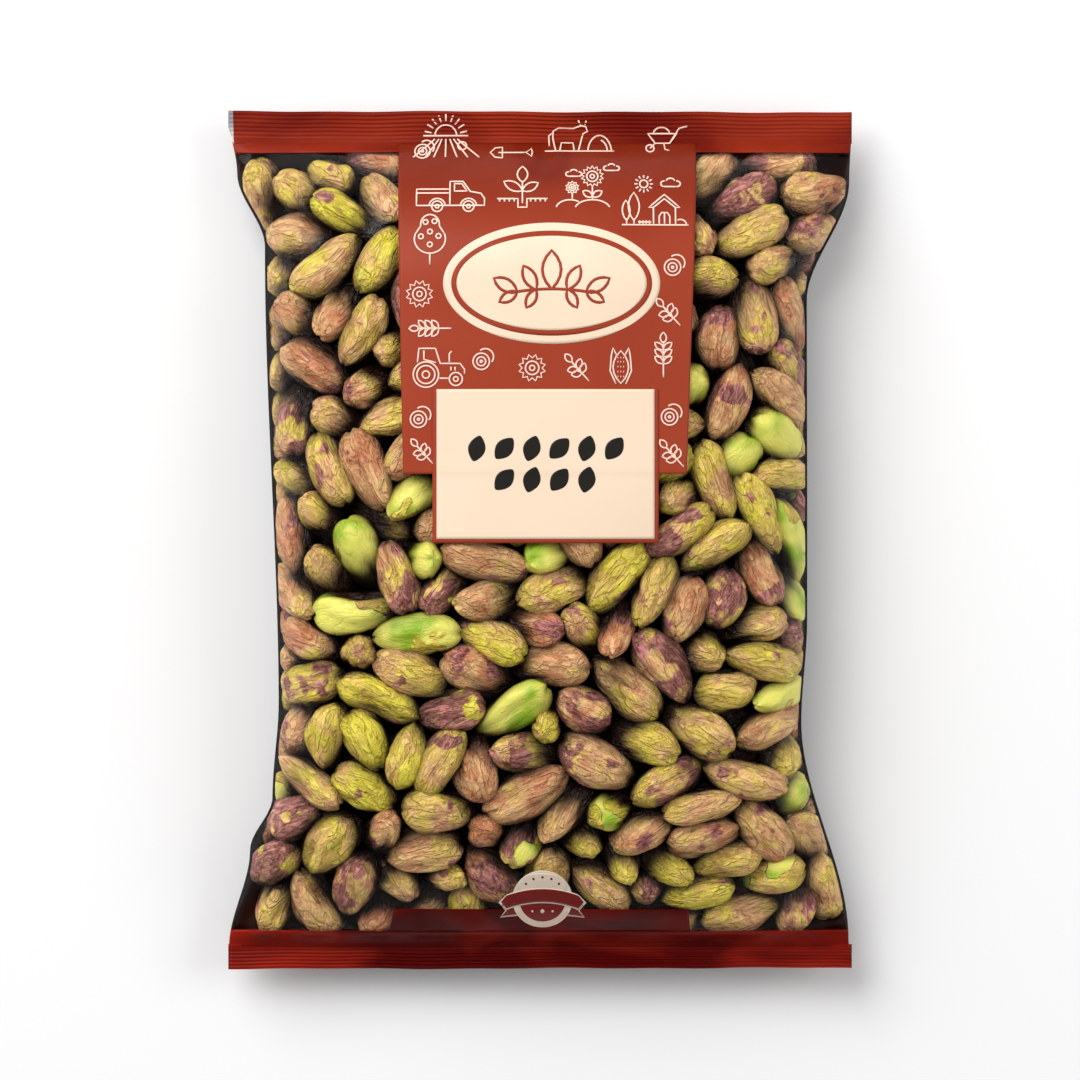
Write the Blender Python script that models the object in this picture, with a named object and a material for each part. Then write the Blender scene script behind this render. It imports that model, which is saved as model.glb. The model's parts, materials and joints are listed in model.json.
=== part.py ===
"""A sealed pillow bag of shelled pistachio kernels, lying on its back.

Metres, +Z up. The bag's front faces +Z and its top seal is at +Y. The origin is on the surface that
the bag lies on, under the middle of the bag.

The film is one web, wrapped round the kernels. Its two edges meet at the back in a fin seal, and its
ends are closed by two crimped seals. A label and a round sticker are on the front. The kernels are far
more than a scene can hold one by one, so they are joined into a front layer, a middle and a back layer.
"""

import math
import random

import bmesh
import bpy
from mathutils import Matrix, Vector

MM = 0.001

# The bag, flat and filled
BAG_WIDTH = 155.0 * MM
BAG_LENGTH = 213.0 * MM
CROWN = 25.0 * MM  # how far the front rises above the side folds
DEPTH = 19.0 * MM  # how far the back would hang below them, if nothing held it up
SIDE_HEIGHT = 15.0 * MM  # the side folds' height over the surface, at the middle
SEAL_DROOP = 4.0 * MM  # the seals lie this much lower than the side folds' middle
BOXINESS = 2.5  # exponent of the cross-section, where 2 is an ellipse
TOP_REACH = 40.0 * MM  # the length over which the bag swells from its top seal
BOTTOM_REACH = 56.0 * MM

# The film and its seals
FILM = 0.2 * MM
GAP = 0.3 * MM  # between pieces that touch
MOUTH = 0.45 * MM  # half the bag's thickness where it meets a seal
TOP_SEAL = 8.0 * MM
BOTTOM_SEAL = 6.0 * MM
SEAL_PLY = 0.35 * MM  # half a seal's thickness
RIB_HEIGHT = 0.25 * MM
TOP_RIBS = 7
BOTTOM_RIBS = 6
FIN_WIDTH = 11.0 * MM
FIN_PLY = 0.35 * MM
SLIT = 0.6 * MM  # between the film's two edges, where the fin starts
CHANNEL_RIGHT = FIN_WIDTH + 2.8 * MM  # the back is lifted over the fin as far as here
CHANNEL_LEFT = 2.6 * MM
CHANNEL_SLOPE = 1.5 * MM

# The label and the sticker
LABEL_WIDTH = 55.0 * MM
LABEL_LENGTH = 38.0 * MM
LABEL_CENTRE = (1.3 * MM, 18.4 * MM)
PAPER = 0.2 * MM
STICKER_RADIUS = 8.6 * MM
STICKER_CENTRE = (0.4 * MM, -88.5 * MM)

# The kernels
KERNEL = Vector((17.0, 10.0, 9.0)) * MM  # length, width, thickness
KERNEL_PITCH = (13.5 * MM, 15.0 * MM)  # between kernels across the bag and along it
LAYER = 10.5 * MM  # depth of the front and of the back layer
CLEARANCE = 0.4 * MM  # the kernels stay this far from the film's inside, because it is faceted
BINDER = 3.0 * MM  # what joins a layer's kernels below their middles
THINNEST = 0.8 * MM  # half the middle's thickness at the bag's sides
FILL_TOP = 88.0 * MM
FILL_BOTTOM = -92.0 * MM
FILL_MARGIN = 3.0 * MM
FILL_GRID = (12, 16)  # columns and rows of each layer
SEED = 7

# Half-widths of the filled bag, from the top edge down: (y, half-width) at each swell and each waist
RIGHT_SIDE = (
    (106.5, 77.5),
    (89.0, 76.8),
    (59.5, 66.2),
    (-20.0, 66.2),
    (-45.0, 64.8),
    (-99.0, 76.6),
    (-106.5, 77.5),
)
LEFT_SIDE = (
    (106.5, 77.5),
    (91.0, 75.2),
    (73.0, 68.3),
    (-40.0, 64.8),
    (-64.0, 66.4),
    (-77.0, 72.0),
    (-101.0, 77.2),
    (-106.5, 77.5),
)

HALF_LENGTH = BAG_LENGTH / 2
TOP_INNER = HALF_LENGTH - TOP_SEAL
BOTTOM_INNER = -HALF_LENGTH + BOTTOM_SEAL


def smooth(share):
    share = min(max(share, 0.0), 1.0)
    return share * share * (3 - 2 * share)


def half_width(y, side):
    """The bag's half-width at y, on the right (side over 0) or on the left."""
    stops = RIGHT_SIDE if side > 0 else LEFT_SIDE
    for (high, wide), (low, wide_below) in zip(stops, stops[1:]):
        if y >= low * MM:
            return (wide + (wide_below - wide) * smooth((high - y / MM) / (high - low))) * MM
    return stops[-1][1] * MM


def rise(distance, reach):
    """How full the bag is at a distance from a seal: 0 at the seal, 1 from reach on."""
    share = min(max(distance / reach, 0.0), 1.0)
    return (1 - (1 - share) ** 2.4) ** 0.95


def swell(y):
    return rise(TOP_INNER - y, TOP_REACH) * rise(y - BOTTOM_INNER, BOTTOM_REACH)


def seam_height(y):
    """Height of the side folds, and of the seals at the ends."""
    return SIDE_HEIGHT - SEAL_DROOP * smooth(abs(y) / HALF_LENGTH)


def section(x, y, inset=0.0):
    """Share of the full height at x: 1 on the middle line, 0 at the side folds."""
    half = half_width(y, x) - inset
    reach = min(abs(x) / half, 1.0) ** (BOXINESS / 2)
    return math.sqrt(1 - reach * reach) ** (2 / BOXINESS)


def front_height(x, y, inset=0.0):
    """Height of the bag's front, or of a surface that lies inset inside it."""
    crown = MOUTH + (CROWN - MOUTH) * swell(y) - inset
    return seam_height(y) + crown * section(x, y, inset)


def fin_channel(x):
    """How far the back is lifted by the folded fin below it."""
    room = FIN_PLY * 2 + GAP
    right = smooth((CHANNEL_RIGHT - x) / CHANNEL_SLOPE)
    left = smooth((x + CHANNEL_LEFT) / (0.8 * CHANNEL_SLOPE))
    return room * right * left


def back_height(x, y, inset=0.0):
    """Height of the bag's back, which the surface below it presses flat."""
    depth = MOUTH + (DEPTH - MOUTH) * swell(y) - inset
    return max(seam_height(y) - depth * section(x, y, inset), inset + fin_channel(x))


def outward(x, y, front):
    """The direction straight out of the bag's front or back at x, y."""
    height = front_height if front else back_height
    step = 1.0 * MM
    slope_x = (height(x + step, y) - height(x - step, y)) / (2 * step)
    slope_y = (height(x, y + step) - height(x, y - step)) / (2 * step)
    upward = Vector((-slope_x, -slope_y, 1)).normalized()
    return upward if front else -upward


def material(name, colour, roughness, metallic=0.0, alpha=1.0):
    made = bpy.data.materials.new(name)
    made.use_nodes = True
    shader = made.node_tree.nodes["Principled BSDF"]
    shader.inputs["Base Color"].default_value = (*colour, 1)
    shader.inputs["Roughness"].default_value = roughness
    shader.inputs["Metallic"].default_value = metallic
    shader.inputs["Alpha"].default_value = alpha
    return made


def object_from(name, bm, finish):
    bmesh.ops.recalc_face_normals(bm, faces=bm.faces)
    mesh = bpy.data.meshes.new(name)
    bm.to_mesh(mesh)
    bm.free()
    mesh.shade_smooth()
    mesh.set_sharp_from_angle(angle=math.radians(35))
    mesh.materials.append(finish)
    made = bpy.data.objects.new(name, mesh)
    bpy.context.scene.collection.objects.link(made)
    return made


def sheet_solid(name, columns, rows, place, finish):
    """A closed sheet: a grid and its copy with a wall round them, each corner put where place(u, v, upper)
    says, with u and v from -1 to 1."""
    bm = bmesh.new()
    bmesh.ops.create_grid(bm, x_segments=columns, y_segments=rows, size=1)
    raised = bmesh.ops.extrude_face_region(bm, geom=bm.faces[:])["geom"]
    uppers = {item for item in raised if isinstance(item, bmesh.types.BMVert)}
    for corner in bm.verts:
        corner.co = place(corner.co.x, corner.co.y, corner in uppers)
    return object_from(name, bm, finish)


def between(low, high, v):
    return low + (high - low) * (v + 1) / 2


def film_web(finish):
    """The film: round the bag from one edge of the slit at the back, over the front, to the other edge."""
    half_columns = 20
    edges = {
        1: (CHANNEL_RIGHT, FIN_WIDTH + 1.2 * MM, SLIT / 2),
        -1: (CHANNEL_LEFT, 1.3 * MM, SLIT / 2),
    }
    bends = half_columns - len(edges[1])

    def place(u, v, upper):
        inset = FILM if upper else 0.0
        y = between(BOTTOM_INNER + GAP, TOP_INNER - GAP, v)
        side = 1 if u > 0 else -1
        column = round(abs(u) * half_columns)
        if column > bends:  # the flat stretch beside the fin
            x = side * edges[side][column - bends - 1]
            return Vector((x, y, back_height(x, y, inset)))
        turn = column / bends * (math.pi - 0.3)  # from the middle of the front
        x = side * (half_width(y, side) - inset) * math.sin(turn) ** (2 / BOXINESS)
        height = front_height if turn < math.pi / 2 else back_height
        return Vector((x, y, height(x, y, inset)))

    return sheet_solid("film_web", 2 * half_columns, 26, place, finish)


def back_fin_seal(finish):
    """The film's two edges, welded together and folded flat under the back."""

    def place(u, v, upper):
        x = between(-0.5 * MM, FIN_WIDTH, u)
        y = between(BOTTOM_INNER + GAP, TOP_INNER - GAP, v)
        under = back_height(x, y) - GAP
        return Vector((x, y, under if upper else under - 2 * FIN_PLY))

    return sheet_solid("back_fin_seal", 3, 26, place, finish)


def crimp_seal(name, inner, outer, ribs, finish):
    """A band of two welded plies, pressed into ribs that run across the bag."""
    rows = ribs * 2

    def place(u, v, upper):
        y = between(inner, outer, v)
        x = u * BAG_WIDTH / 2
        row = round((v + 1) / 2 * rows)
        wave = (0.6 * math.sin(u * 5.0) + 0.35 * math.sin(u * 11.0 + 1.0)) * MM
        lift = wave * abs(y - inner) / abs(outer - inner)
        rib = RIB_HEIGHT if row % 2 else -RIB_HEIGHT
        ply = SEAL_PLY if upper else -SEAL_PLY
        return Vector((x, y, seam_height(y) + lift + rib + ply))

    return sheet_solid(name, 10, rows, place, finish)


def product_label(finish):
    """A paper label that follows the front."""

    def place(u, v, upper):
        x = LABEL_CENTRE[0] + u * LABEL_WIDTH / 2
        y = LABEL_CENTRE[1] + v * LABEL_LENGTH / 2
        return Vector((x, y, front_height(x, y) + GAP + (PAPER if upper else 0)))

    return sheet_solid("product_label", 10, 7, place, finish)


def quality_sticker(finish):
    """A round paper sticker near the bottom of the front."""
    bm = bmesh.new()
    bmesh.ops.create_circle(bm, cap_ends=True, cap_tris=True, radius=STICKER_RADIUS, segments=28)
    raised = bmesh.ops.extrude_face_region(bm, geom=bm.faces[:])["geom"]
    uppers = {item for item in raised if isinstance(item, bmesh.types.BMVert)}
    for corner in bm.verts:
        x = STICKER_CENTRE[0] + corner.co.x
        y = STICKER_CENTRE[1] + corner.co.y
        corner.co = (x, y, front_height(x, y) + 3 * GAP + (PAPER if corner in uppers else 0))
    return object_from("quality_sticker", bm, finish)


def fill_place(u, v):
    """A point of the space that the kernels fill, seen from the front."""
    y = between(FILL_BOTTOM, FILL_TOP, v)
    round_off = 1 - 0.22 * abs(v) ** 6  # the fill's corners are rounded
    return u * (half_width(y, u) - FILL_MARGIN) * round_off, y


def fill_heights(x, y):
    """Lowest and highest point of the fill at x, y."""
    return back_height(x, y, FILM) + GAP, front_height(x, y, FILM) - GAP


def middle_half(room):
    """Half the thickness of the middle, where the fill is room thick to either side."""
    return max(room - LAYER, THINNEST)


def kernels_middle(finish):
    """The kernels that don't touch the film, as one block."""

    def place(u, v, upper):
        x, y = fill_place(u, v)
        low, high = fill_heights(x, y)
        middle, room = (low + high) / 2, (high - low) / 2
        half = middle_half(room)
        return Vector((x, y, middle + half if upper else middle - half))

    return sheet_solid("kernels_middle", *FILL_GRID, place, finish)


def binder(name, front, finish):
    """The sheet that joins a layer's kernels, just outside the middle."""

    def place(u, v, upper):
        x, y = fill_place(u, v)
        low, high = fill_heights(x, y)
        middle, room = (low + high) / 2, (high - low) / 2
        inner = middle_half(room) + GAP
        outer = max(min(inner + BINDER, room), inner + THINNEST / 2)
        height = outer if upper else inner
        return Vector((x, y, middle + height if front else middle - height))

    return sheet_solid(name, *FILL_GRID, place, finish)


def kernel_at(name, x, y, front, turn):
    """One kernel, lying against the film, or None where it has no room. It is a helper that the layer joins."""
    low, high = fill_heights(x, y)
    facing = outward(x, y, front)
    centre = Vector((x, y, high if front else low)) - facing * (KERNEL.z / 2 + CLEARANCE)
    frame = facing.to_track_quat("Z", "Y").to_matrix().to_4x4()
    bm = bmesh.new()
    bmesh.ops.create_icosphere(bm, subdivisions=1, radius=1.0)
    shape = Matrix.Diagonal((KERNEL.x / 2, KERNEL.y / 2, KERNEL.z / 2, 1))
    bm.transform(Matrix.Translation(centre) @ frame @ Matrix.Rotation(turn, 4, "Z") @ shape)
    if not all(in_layer(corner.co, front) for corner in bm.verts):
        bm.free()
        return None
    mesh = bpy.data.meshes.new(name)
    bm.to_mesh(mesh)
    bm.free()
    made = bpy.data.objects.new(name, mesh)
    made.hide_render = True
    made.display_type = "WIRE"
    return made


def in_layer(point, front):
    """Whether a point lies in the front or the back layer, clear of the film and of the middle."""
    low, high = fill_heights(point.x, point.y)
    middle, room = (low + high) / 2, (high - low) / 2
    height = point.z - middle if front else middle - point.z
    return middle_half(room) + 3 * GAP < height < room - CLEARANCE / 2


def kernel_layer(name, front, finish):
    """A layer of kernels that lie against the film, joined where they touch."""
    chance = random.Random(SEED + front)
    helpers = bpy.data.collections.new(name + "_helpers")
    helpers.hide_render = True
    bpy.context.scene.collection.children.link(helpers)
    rows = int((FILL_TOP - FILL_BOTTOM) / KERNEL_PITCH[1])
    for row in range(rows):
        y = FILL_BOTTOM + (row + 0.5) * KERNEL_PITCH[1]
        columns = int(2 * half_width(y, 1) / KERNEL_PITCH[0]) - 1
        for column in range(columns):
            shift = 0.25 if row % 2 == 0 else -0.25
            x = (column - (columns - 1) / 2 + shift) * KERNEL_PITCH[0]
            spot = (x + chance.uniform(-1, 1) * MM, y + chance.uniform(-1, 1) * MM)
            turn = chance.uniform(0, math.pi)
            kernel = kernel_at(f"{name}_{row}_{column}", *spot, front, turn)
            if kernel:
                helpers.objects.link(kernel)
    layer = binder(name, front, finish)
    join = layer.modifiers.new("join", "BOOLEAN")
    join.operation = "UNION"
    join.operand_type = "COLLECTION"
    join.collection = helpers
    join.solver = "EXACT"
    return layer


def main():
    """Clears the scene and builds the bag."""
    for old in list(bpy.data.objects):
        bpy.data.objects.remove(old)
    clear_film = material("clear_film", (0.93, 0.94, 0.93), 0.08, alpha=0.25)
    brown_film = material("brown_film", (0.42, 0.065, 0.03), 0.25)
    paper = material("label_paper", (0.98, 0.79, 0.58), 0.45)
    skin = material("kernel_skin", (0.42, 0.26, 0.08), 0.6)
    film_web(clear_film)
    back_fin_seal(clear_film)
    crimp_seal("top_crimp_seal", TOP_INNER, HALF_LENGTH, TOP_RIBS, brown_film)
    crimp_seal("bottom_crimp_seal", BOTTOM_INNER, -HALF_LENGTH, BOTTOM_RIBS, brown_film)
    product_label(paper)
    quality_sticker(paper)
    kernels_middle(skin)
    kernel_layer("kernels_front", True, skin)
    kernel_layer("kernels_back", False, skin)


main()
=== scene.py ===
"""A sealed clear bag of shelled pistachio kernels, with its printed panel, label and badge.

Run it as a script in Blender 4.5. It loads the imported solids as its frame, and builds each visible piece
where the frame has it. Lengths are in metres, +Z is up, and the bag's front faces +Z.
"""

import json
import math

import bmesh
import bpy
import numpy as np
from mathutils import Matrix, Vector
from mathutils.bvhtree import BVHTree

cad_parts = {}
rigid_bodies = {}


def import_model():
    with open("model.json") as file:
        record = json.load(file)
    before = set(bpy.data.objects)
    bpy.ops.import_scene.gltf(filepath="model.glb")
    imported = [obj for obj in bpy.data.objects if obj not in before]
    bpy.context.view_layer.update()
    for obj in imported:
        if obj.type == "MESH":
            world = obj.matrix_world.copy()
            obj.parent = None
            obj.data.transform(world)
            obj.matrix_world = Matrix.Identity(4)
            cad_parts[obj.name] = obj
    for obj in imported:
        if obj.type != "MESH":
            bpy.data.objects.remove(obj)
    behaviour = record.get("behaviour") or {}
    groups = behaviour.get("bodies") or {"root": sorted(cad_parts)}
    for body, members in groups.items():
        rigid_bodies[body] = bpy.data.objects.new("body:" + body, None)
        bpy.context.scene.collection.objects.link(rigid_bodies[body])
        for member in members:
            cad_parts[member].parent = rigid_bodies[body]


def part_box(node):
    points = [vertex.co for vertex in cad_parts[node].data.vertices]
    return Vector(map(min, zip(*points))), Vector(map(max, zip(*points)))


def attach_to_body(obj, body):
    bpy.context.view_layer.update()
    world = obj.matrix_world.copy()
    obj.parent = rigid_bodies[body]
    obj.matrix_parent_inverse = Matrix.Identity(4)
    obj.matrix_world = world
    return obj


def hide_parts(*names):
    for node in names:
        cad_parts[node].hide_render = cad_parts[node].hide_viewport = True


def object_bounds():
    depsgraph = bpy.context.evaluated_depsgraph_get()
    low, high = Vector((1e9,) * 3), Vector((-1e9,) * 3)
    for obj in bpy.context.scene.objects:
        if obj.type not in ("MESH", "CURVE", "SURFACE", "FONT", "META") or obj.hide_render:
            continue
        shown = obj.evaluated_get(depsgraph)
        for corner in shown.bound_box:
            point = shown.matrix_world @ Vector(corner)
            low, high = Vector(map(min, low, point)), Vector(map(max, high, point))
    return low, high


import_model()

bl_info = {
    "name": "Bag of pistachio kernels",
    "version": (1, 0, 0),
    "blender": (4, 5, 0),
    "location": "3D View > Sidebar > Kernel bag",
    "description": "Builds a filled and sealed clear bag of pistachio kernels, one piece at a time",
    "category": "Object",
}

CAD_LOW, CAD_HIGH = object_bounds()
MM = 0.001

# The bag's shape, as the frame's film has it
HALF_LENGTH = CAD_HIGH.y
CROWN = 25.0 * MM  # how far the front rises above the side folds
DEPTH = 19.0 * MM  # how far the back would hang below them
SIDE_HEIGHT = 15.0 * MM
SEAL_DROOP = 4.0 * MM
BOXINESS = 2.5  # exponent of the cross-section, where 2 is an ellipse
MOUTH = 0.45 * MM
TOP_REACH = 40.0 * MM
BOTTOM_REACH = 56.0 * MM
TOP_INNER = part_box("top_crimp_seal")[0].y
BOTTOM_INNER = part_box("bottom_crimp_seal")[1].y
FIN_LEFT, FIN_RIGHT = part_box("back_fin_seal")[0].x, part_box("back_fin_seal")[1].x
FIN_ROOM = 1.0 * MM
RIGHT_SIDE = (
    (106.5, 77.5),
    (89.0, 76.8),
    (59.5, 66.2),
    (-20.0, 66.2),
    (-45.0, 64.8),
    (-99.0, 76.6),
    (-106.5, 77.5),
)
LEFT_SIDE = (
    (106.5, 77.5),
    (91.0, 75.2),
    (73.0, 68.3),
    (-40.0, 64.8),
    (-64.0, 66.4),
    (-77.0, 72.0),
    (-101.0, 77.2),
    (-106.5, 77.5),
)


# ---------------------------------------------------------------- the bag's shape


def smooth(share):
    share = np.clip(share, 0.0, 1.0)
    return share * share * (3 - 2 * share)


def side_profile(y, stops):
    """Half-width at y along one side, from the top edge down."""
    wide = np.full(np.shape(y), stops[-1][1] * MM)
    for (high, at_high), (low, at_low) in reversed(list(zip(stops, stops[1:]))):
        between = at_high + (at_low - at_high) * smooth((high - y / MM) / (high - low))
        wide = np.where(y >= low * MM, between * MM, wide)
    return wide


def half_width(x, y):
    """The bag's half-width at y, on the side that x is on."""
    return np.where(x > 0, side_profile(y, RIGHT_SIDE), side_profile(y, LEFT_SIDE))


def rise(distance, reach):
    """How full the bag is at a distance from a seal: 0 at the seal, 1 from reach on."""
    share = np.clip(distance / reach, 0.0, 1.0)
    return (1 - (1 - share) ** 2.4) ** 0.95


def swell(y):
    return rise(TOP_INNER - y, TOP_REACH) * rise(y - BOTTOM_INNER, BOTTOM_REACH)


def seam_height(y):
    return SIDE_HEIGHT - SEAL_DROOP * smooth(np.abs(y) / HALF_LENGTH)


def section(x, y):
    """Share of the full height at x: 1 on the middle line, 0 at the side folds."""
    reach = np.minimum(np.abs(x) / half_width(x, y), 1.0) ** BOXINESS
    return (1 - reach) ** (1 / BOXINESS)


def front_height(x, y):
    return seam_height(y) + (MOUTH + (CROWN - MOUTH) * swell(y)) * section(x, y)


def fin_channel(x):
    """How far the back is lifted by the folded fin below it."""
    slope = 1.5 * MM
    right = smooth((FIN_RIGHT + 2.8 * MM - x) / slope)
    left = smooth((x - FIN_LEFT + 2.1 * MM) / slope)
    return FIN_ROOM * right * left


def back_height(x, y):
    low = seam_height(y) - (MOUTH + (DEPTH - MOUTH) * swell(y)) * section(x, y)
    return np.maximum(low, fin_channel(x))


def face_slope(height, x, y, step=1.0 * MM):
    """Unit normal of a height function, pointing up, as an array of shape (n, 3)."""
    slope_x = (height(x + step, y) - height(x - step, y)) / (2 * step)
    slope_y = (height(x, y + step) - height(x, y - step)) / (2 * step)
    upward = np.stack([-slope_x, -slope_y, np.ones_like(slope_x)], axis=-1)
    return upward / np.linalg.norm(upward, axis=-1, keepdims=True)


# ---------------------------------------------------------------- shader tools


class Signal:
    """A value inside a material. Sums, differences and products of it add Math nodes."""

    def __init__(self, material, socket):
        self.material = material
        self.socket = socket

    def math(self, operation, *others):
        return self.material.node("ShaderNodeMath", {"operation": operation}, (self, *others))

    def __add__(self, other):
        return self.math("ADD", other)

    __radd__ = __add__

    def __sub__(self, other):
        return self.math("SUBTRACT", other)

    def __rsub__(self, other):
        return self.material.node("ShaderNodeMath", {"operation": "SUBTRACT"}, (other, self))

    def __mul__(self, other):
        return self.math("MULTIPLY", other)

    def step(self, low, high):
        """0 below low, 1 above high and smooth between."""
        settings = {"interpolation_type": "SMOOTHSTEP"}
        return self.material.node("ShaderNodeMapRange", settings, (self, low, high, 0.0, 1.0))


class Finish:
    """A procedural material that is put together node by node."""

    def __init__(self, name):
        self.made = bpy.data.materials.new(name)
        self.made.use_nodes = True
        self.nodes = self.made.node_tree.nodes
        self.links = self.made.node_tree.links
        self.nodes.clear()
        self.output = self.nodes.new("ShaderNodeOutputMaterial")

    def plug(self, socket, value):
        if isinstance(value, Signal):
            self.links.new(value.socket, socket)
        elif value is not None:
            if hasattr(socket.default_value, "__len__") and len(socket.default_value) == 4:
                value = (*value[:3], 1.0)
            socket.default_value = value

    def node(self, kind, settings=None, inputs=(), output=0):
        """Adds a node: its settings first, then values or links, by order or by name."""
        made = self.nodes.new(kind)
        for key, value in (settings or {}).items():
            setattr(made, key, value)
        pairs = inputs.items() if isinstance(inputs, dict) else enumerate(inputs)
        for key, value in pairs:
            self.plug(made.inputs[key], value)
        return Signal(self, made.outputs[output])

    def attribute(self, name, output="Fac"):
        return self.node("ShaderNodeAttribute", {"attribute_name": name}, output=output)

    def parts(self, vector):
        split = self.nodes.new("ShaderNodeSeparateXYZ")
        self.plug(split.inputs[0], vector)
        return [Signal(self, output) for output in split.outputs]

    def own_place(self):
        """Places on the piece, in its own coordinates."""
        return self.node("ShaderNodeTexCoord", output="Object")

    def placed(self, scale=(1, 1, 1), vector=None):
        """The piece's own coordinates, or the vector given, scaled."""
        if vector is None:
            vector = self.own_place()
        return self.node("ShaderNodeMapping", None, {"Vector": vector, "Scale": scale})

    def noise(self, vector, scale, detail=3.0, roughness=0.5, distortion=0.0):
        sockets = {
            "Vector": vector,
            "Scale": scale,
            "Detail": detail,
            "Roughness": roughness,
            "Distortion": distortion,
        }
        return self.node("ShaderNodeTexNoise", None, sockets)

    def mix(self, share, first, second, blend="MIX"):
        """A colour between two."""
        made = self.nodes.new("ShaderNodeMix")
        made.data_type = "RGBA"
        made.blend_type = blend
        for key, value in ((0, share), (6, first), (7, second)):
            self.plug(made.inputs[key], value)
        return Signal(self, made.outputs[2])

    def ramp(self, value, stops):
        """A colour ramp with stops of (place, colour)."""
        made = self.nodes.new("ShaderNodeValToRGB")
        points = made.color_ramp.elements
        while len(points) < len(stops):
            points.new(0.5)
        for point, (place, colour) in zip(points, stops):
            point.position = place
            point.color = (*colour, 1.0)
        self.plug(made.inputs[0], value)
        return Signal(self, made.outputs[0])

    def bump(self, height, strength, distance, normal=None):
        sockets = {"Strength": strength, "Distance": distance, "Height": height, "Normal": normal}
        return self.node("ShaderNodeBump", None, sockets)

    def surface(self, shader):
        self.links.new(shader.socket, self.output.inputs["Surface"])
        return self.made

    def principled(self, **sockets):
        named = {}
        for key, value in sockets.items():
            named[key.replace("_", " ").title().replace("Ior", "IOR")] = value
        return self.node("ShaderNodeBsdfPrincipled", None, named)

    def ink(self, colour, roughness, coat, specular, normal):
        """Print under a thin clear coat, as the finished material."""
        shader = self.principled(
            base_color=colour,
            roughness=roughness,
            coat_weight=coat,
            coat_roughness=0.15,
            specular_ior_level=specular,
            normal=normal,
        )
        return self.surface(shader)


def linear(red, green, blue):
    """A colour given in 0 to 255 display values, as the shader's linear values."""
    shares = [value / 255 for value in (red, green, blue)]
    return tuple(s / 12.92 if s <= 0.04045 else ((s + 0.055) / 1.055) ** 2.4 for s in shares)


# ---------------------------------------------------------------- making pieces


def add_object(name, data):
    made = bpy.data.objects.new(name, data)
    bpy.context.scene.collection.objects.link(made)
    return made


def piece_from(bm, name, material, replaces=()):
    """Makes a piece of a bmesh: smooth, with its material, and riding on the frame's body."""
    mesh = bpy.data.meshes.new(name)
    bm.to_mesh(mesh)
    bm.free()
    mesh.shade_smooth()
    mesh.materials.append(material)
    made = add_object(name, mesh)
    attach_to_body(made, "root")
    if replaces:
        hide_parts(*replaces)
    return made


def thicken(piece, thickness):
    """Gives a sheet its thickness, inwards from its face."""
    wall = piece.modifiers.new("wall", "SOLIDIFY")
    wall.thickness = thickness
    wall.offset = -1
    return piece


def attach(mesh, name, kind, key, values):
    """Stores values at the mesh's vertices, for its material to read."""
    layer = mesh.attributes.new(name, kind, "POINT")
    layer.data.foreach_set(key, values.reshape(-1).astype(np.float32))


def coordinates(mesh):
    points = np.empty(len(mesh.vertices) * 3)
    mesh.vertices.foreach_get("co", points)
    return points.reshape(-1, 3)


def vertex_places(bm):
    return np.array([corner.co for corner in bm.verts])


def set_places(bm, points):
    for corner, point in zip(bm.verts, points):
        corner.co = point


def two_plies(columns, rows):
    """Two grids joined at their edges: the bmesh, its places and which of them are in the upper grid."""
    bm = bmesh.new()
    bmesh.ops.create_grid(bm, x_segments=columns, y_segments=rows, size=1)
    raised = bmesh.ops.extrude_face_region(bm, geom=bm.faces[:])["geom"]
    uppers = {item for item in raised if isinstance(item, bmesh.types.BMVert)}
    return bm, vertex_places(bm), np.array([corner in uppers for corner in bm.verts])


# ---------------------------------------------------------------- kernels

SPHERES = np.array((-0.70, -0.38, 0.0, 0.38, 0.70))  # along a kernel, as shares of half its length
SPHERE_SIZES = np.array((0.66, 0.93, 1.0, 0.93, 0.60))  # as shares of half its width
EASE = 1.6  # how far a sphere is moved, as a share of the mean of what its neighbours ask
RESORTED = 8  # turns between two searches for each kernel's neighbours
QUIET_TURNS = 25  # the last turns, in which nothing but the neighbours and the film moves a kernel


def confine(points, radii):
    """How each sphere has to move to lie inside the film."""
    x, y, z = points[:, 0], points[:, 1], points[:, 2]
    shift = np.zeros_like(points)
    wide = side_profile(y, RIGHT_SIDE) - radii
    narrow = side_profile(y, LEFT_SIDE) - radii
    shift[:, 0] = np.clip(x, -narrow, wide) - x
    x = x + shift[:, 0]
    shift[:, 1] = np.clip(y, BOTTOM_INNER + radii * 0.9, TOP_INNER - radii * 0.9) - y
    y = y + shift[:, 1]
    up = face_slope(front_height, x, y)
    over = np.maximum((z - front_height(x, y)) * up[:, 2] + radii, 0.0)
    down = face_slope(back_height, x, y)
    under = np.maximum((back_height(x, y) - z) * down[:, 2] + radii, 0.0)
    return shift - up * over[:, None] + down * under[:, None]


def near_pairs(centres, reach):
    gaps = centres[:, None] - centres[None]
    close = np.einsum("ijk,ijk->ij", gaps, gaps) < reach**2
    first, second = np.nonzero(np.triu(close, 1))
    return first, second


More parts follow.
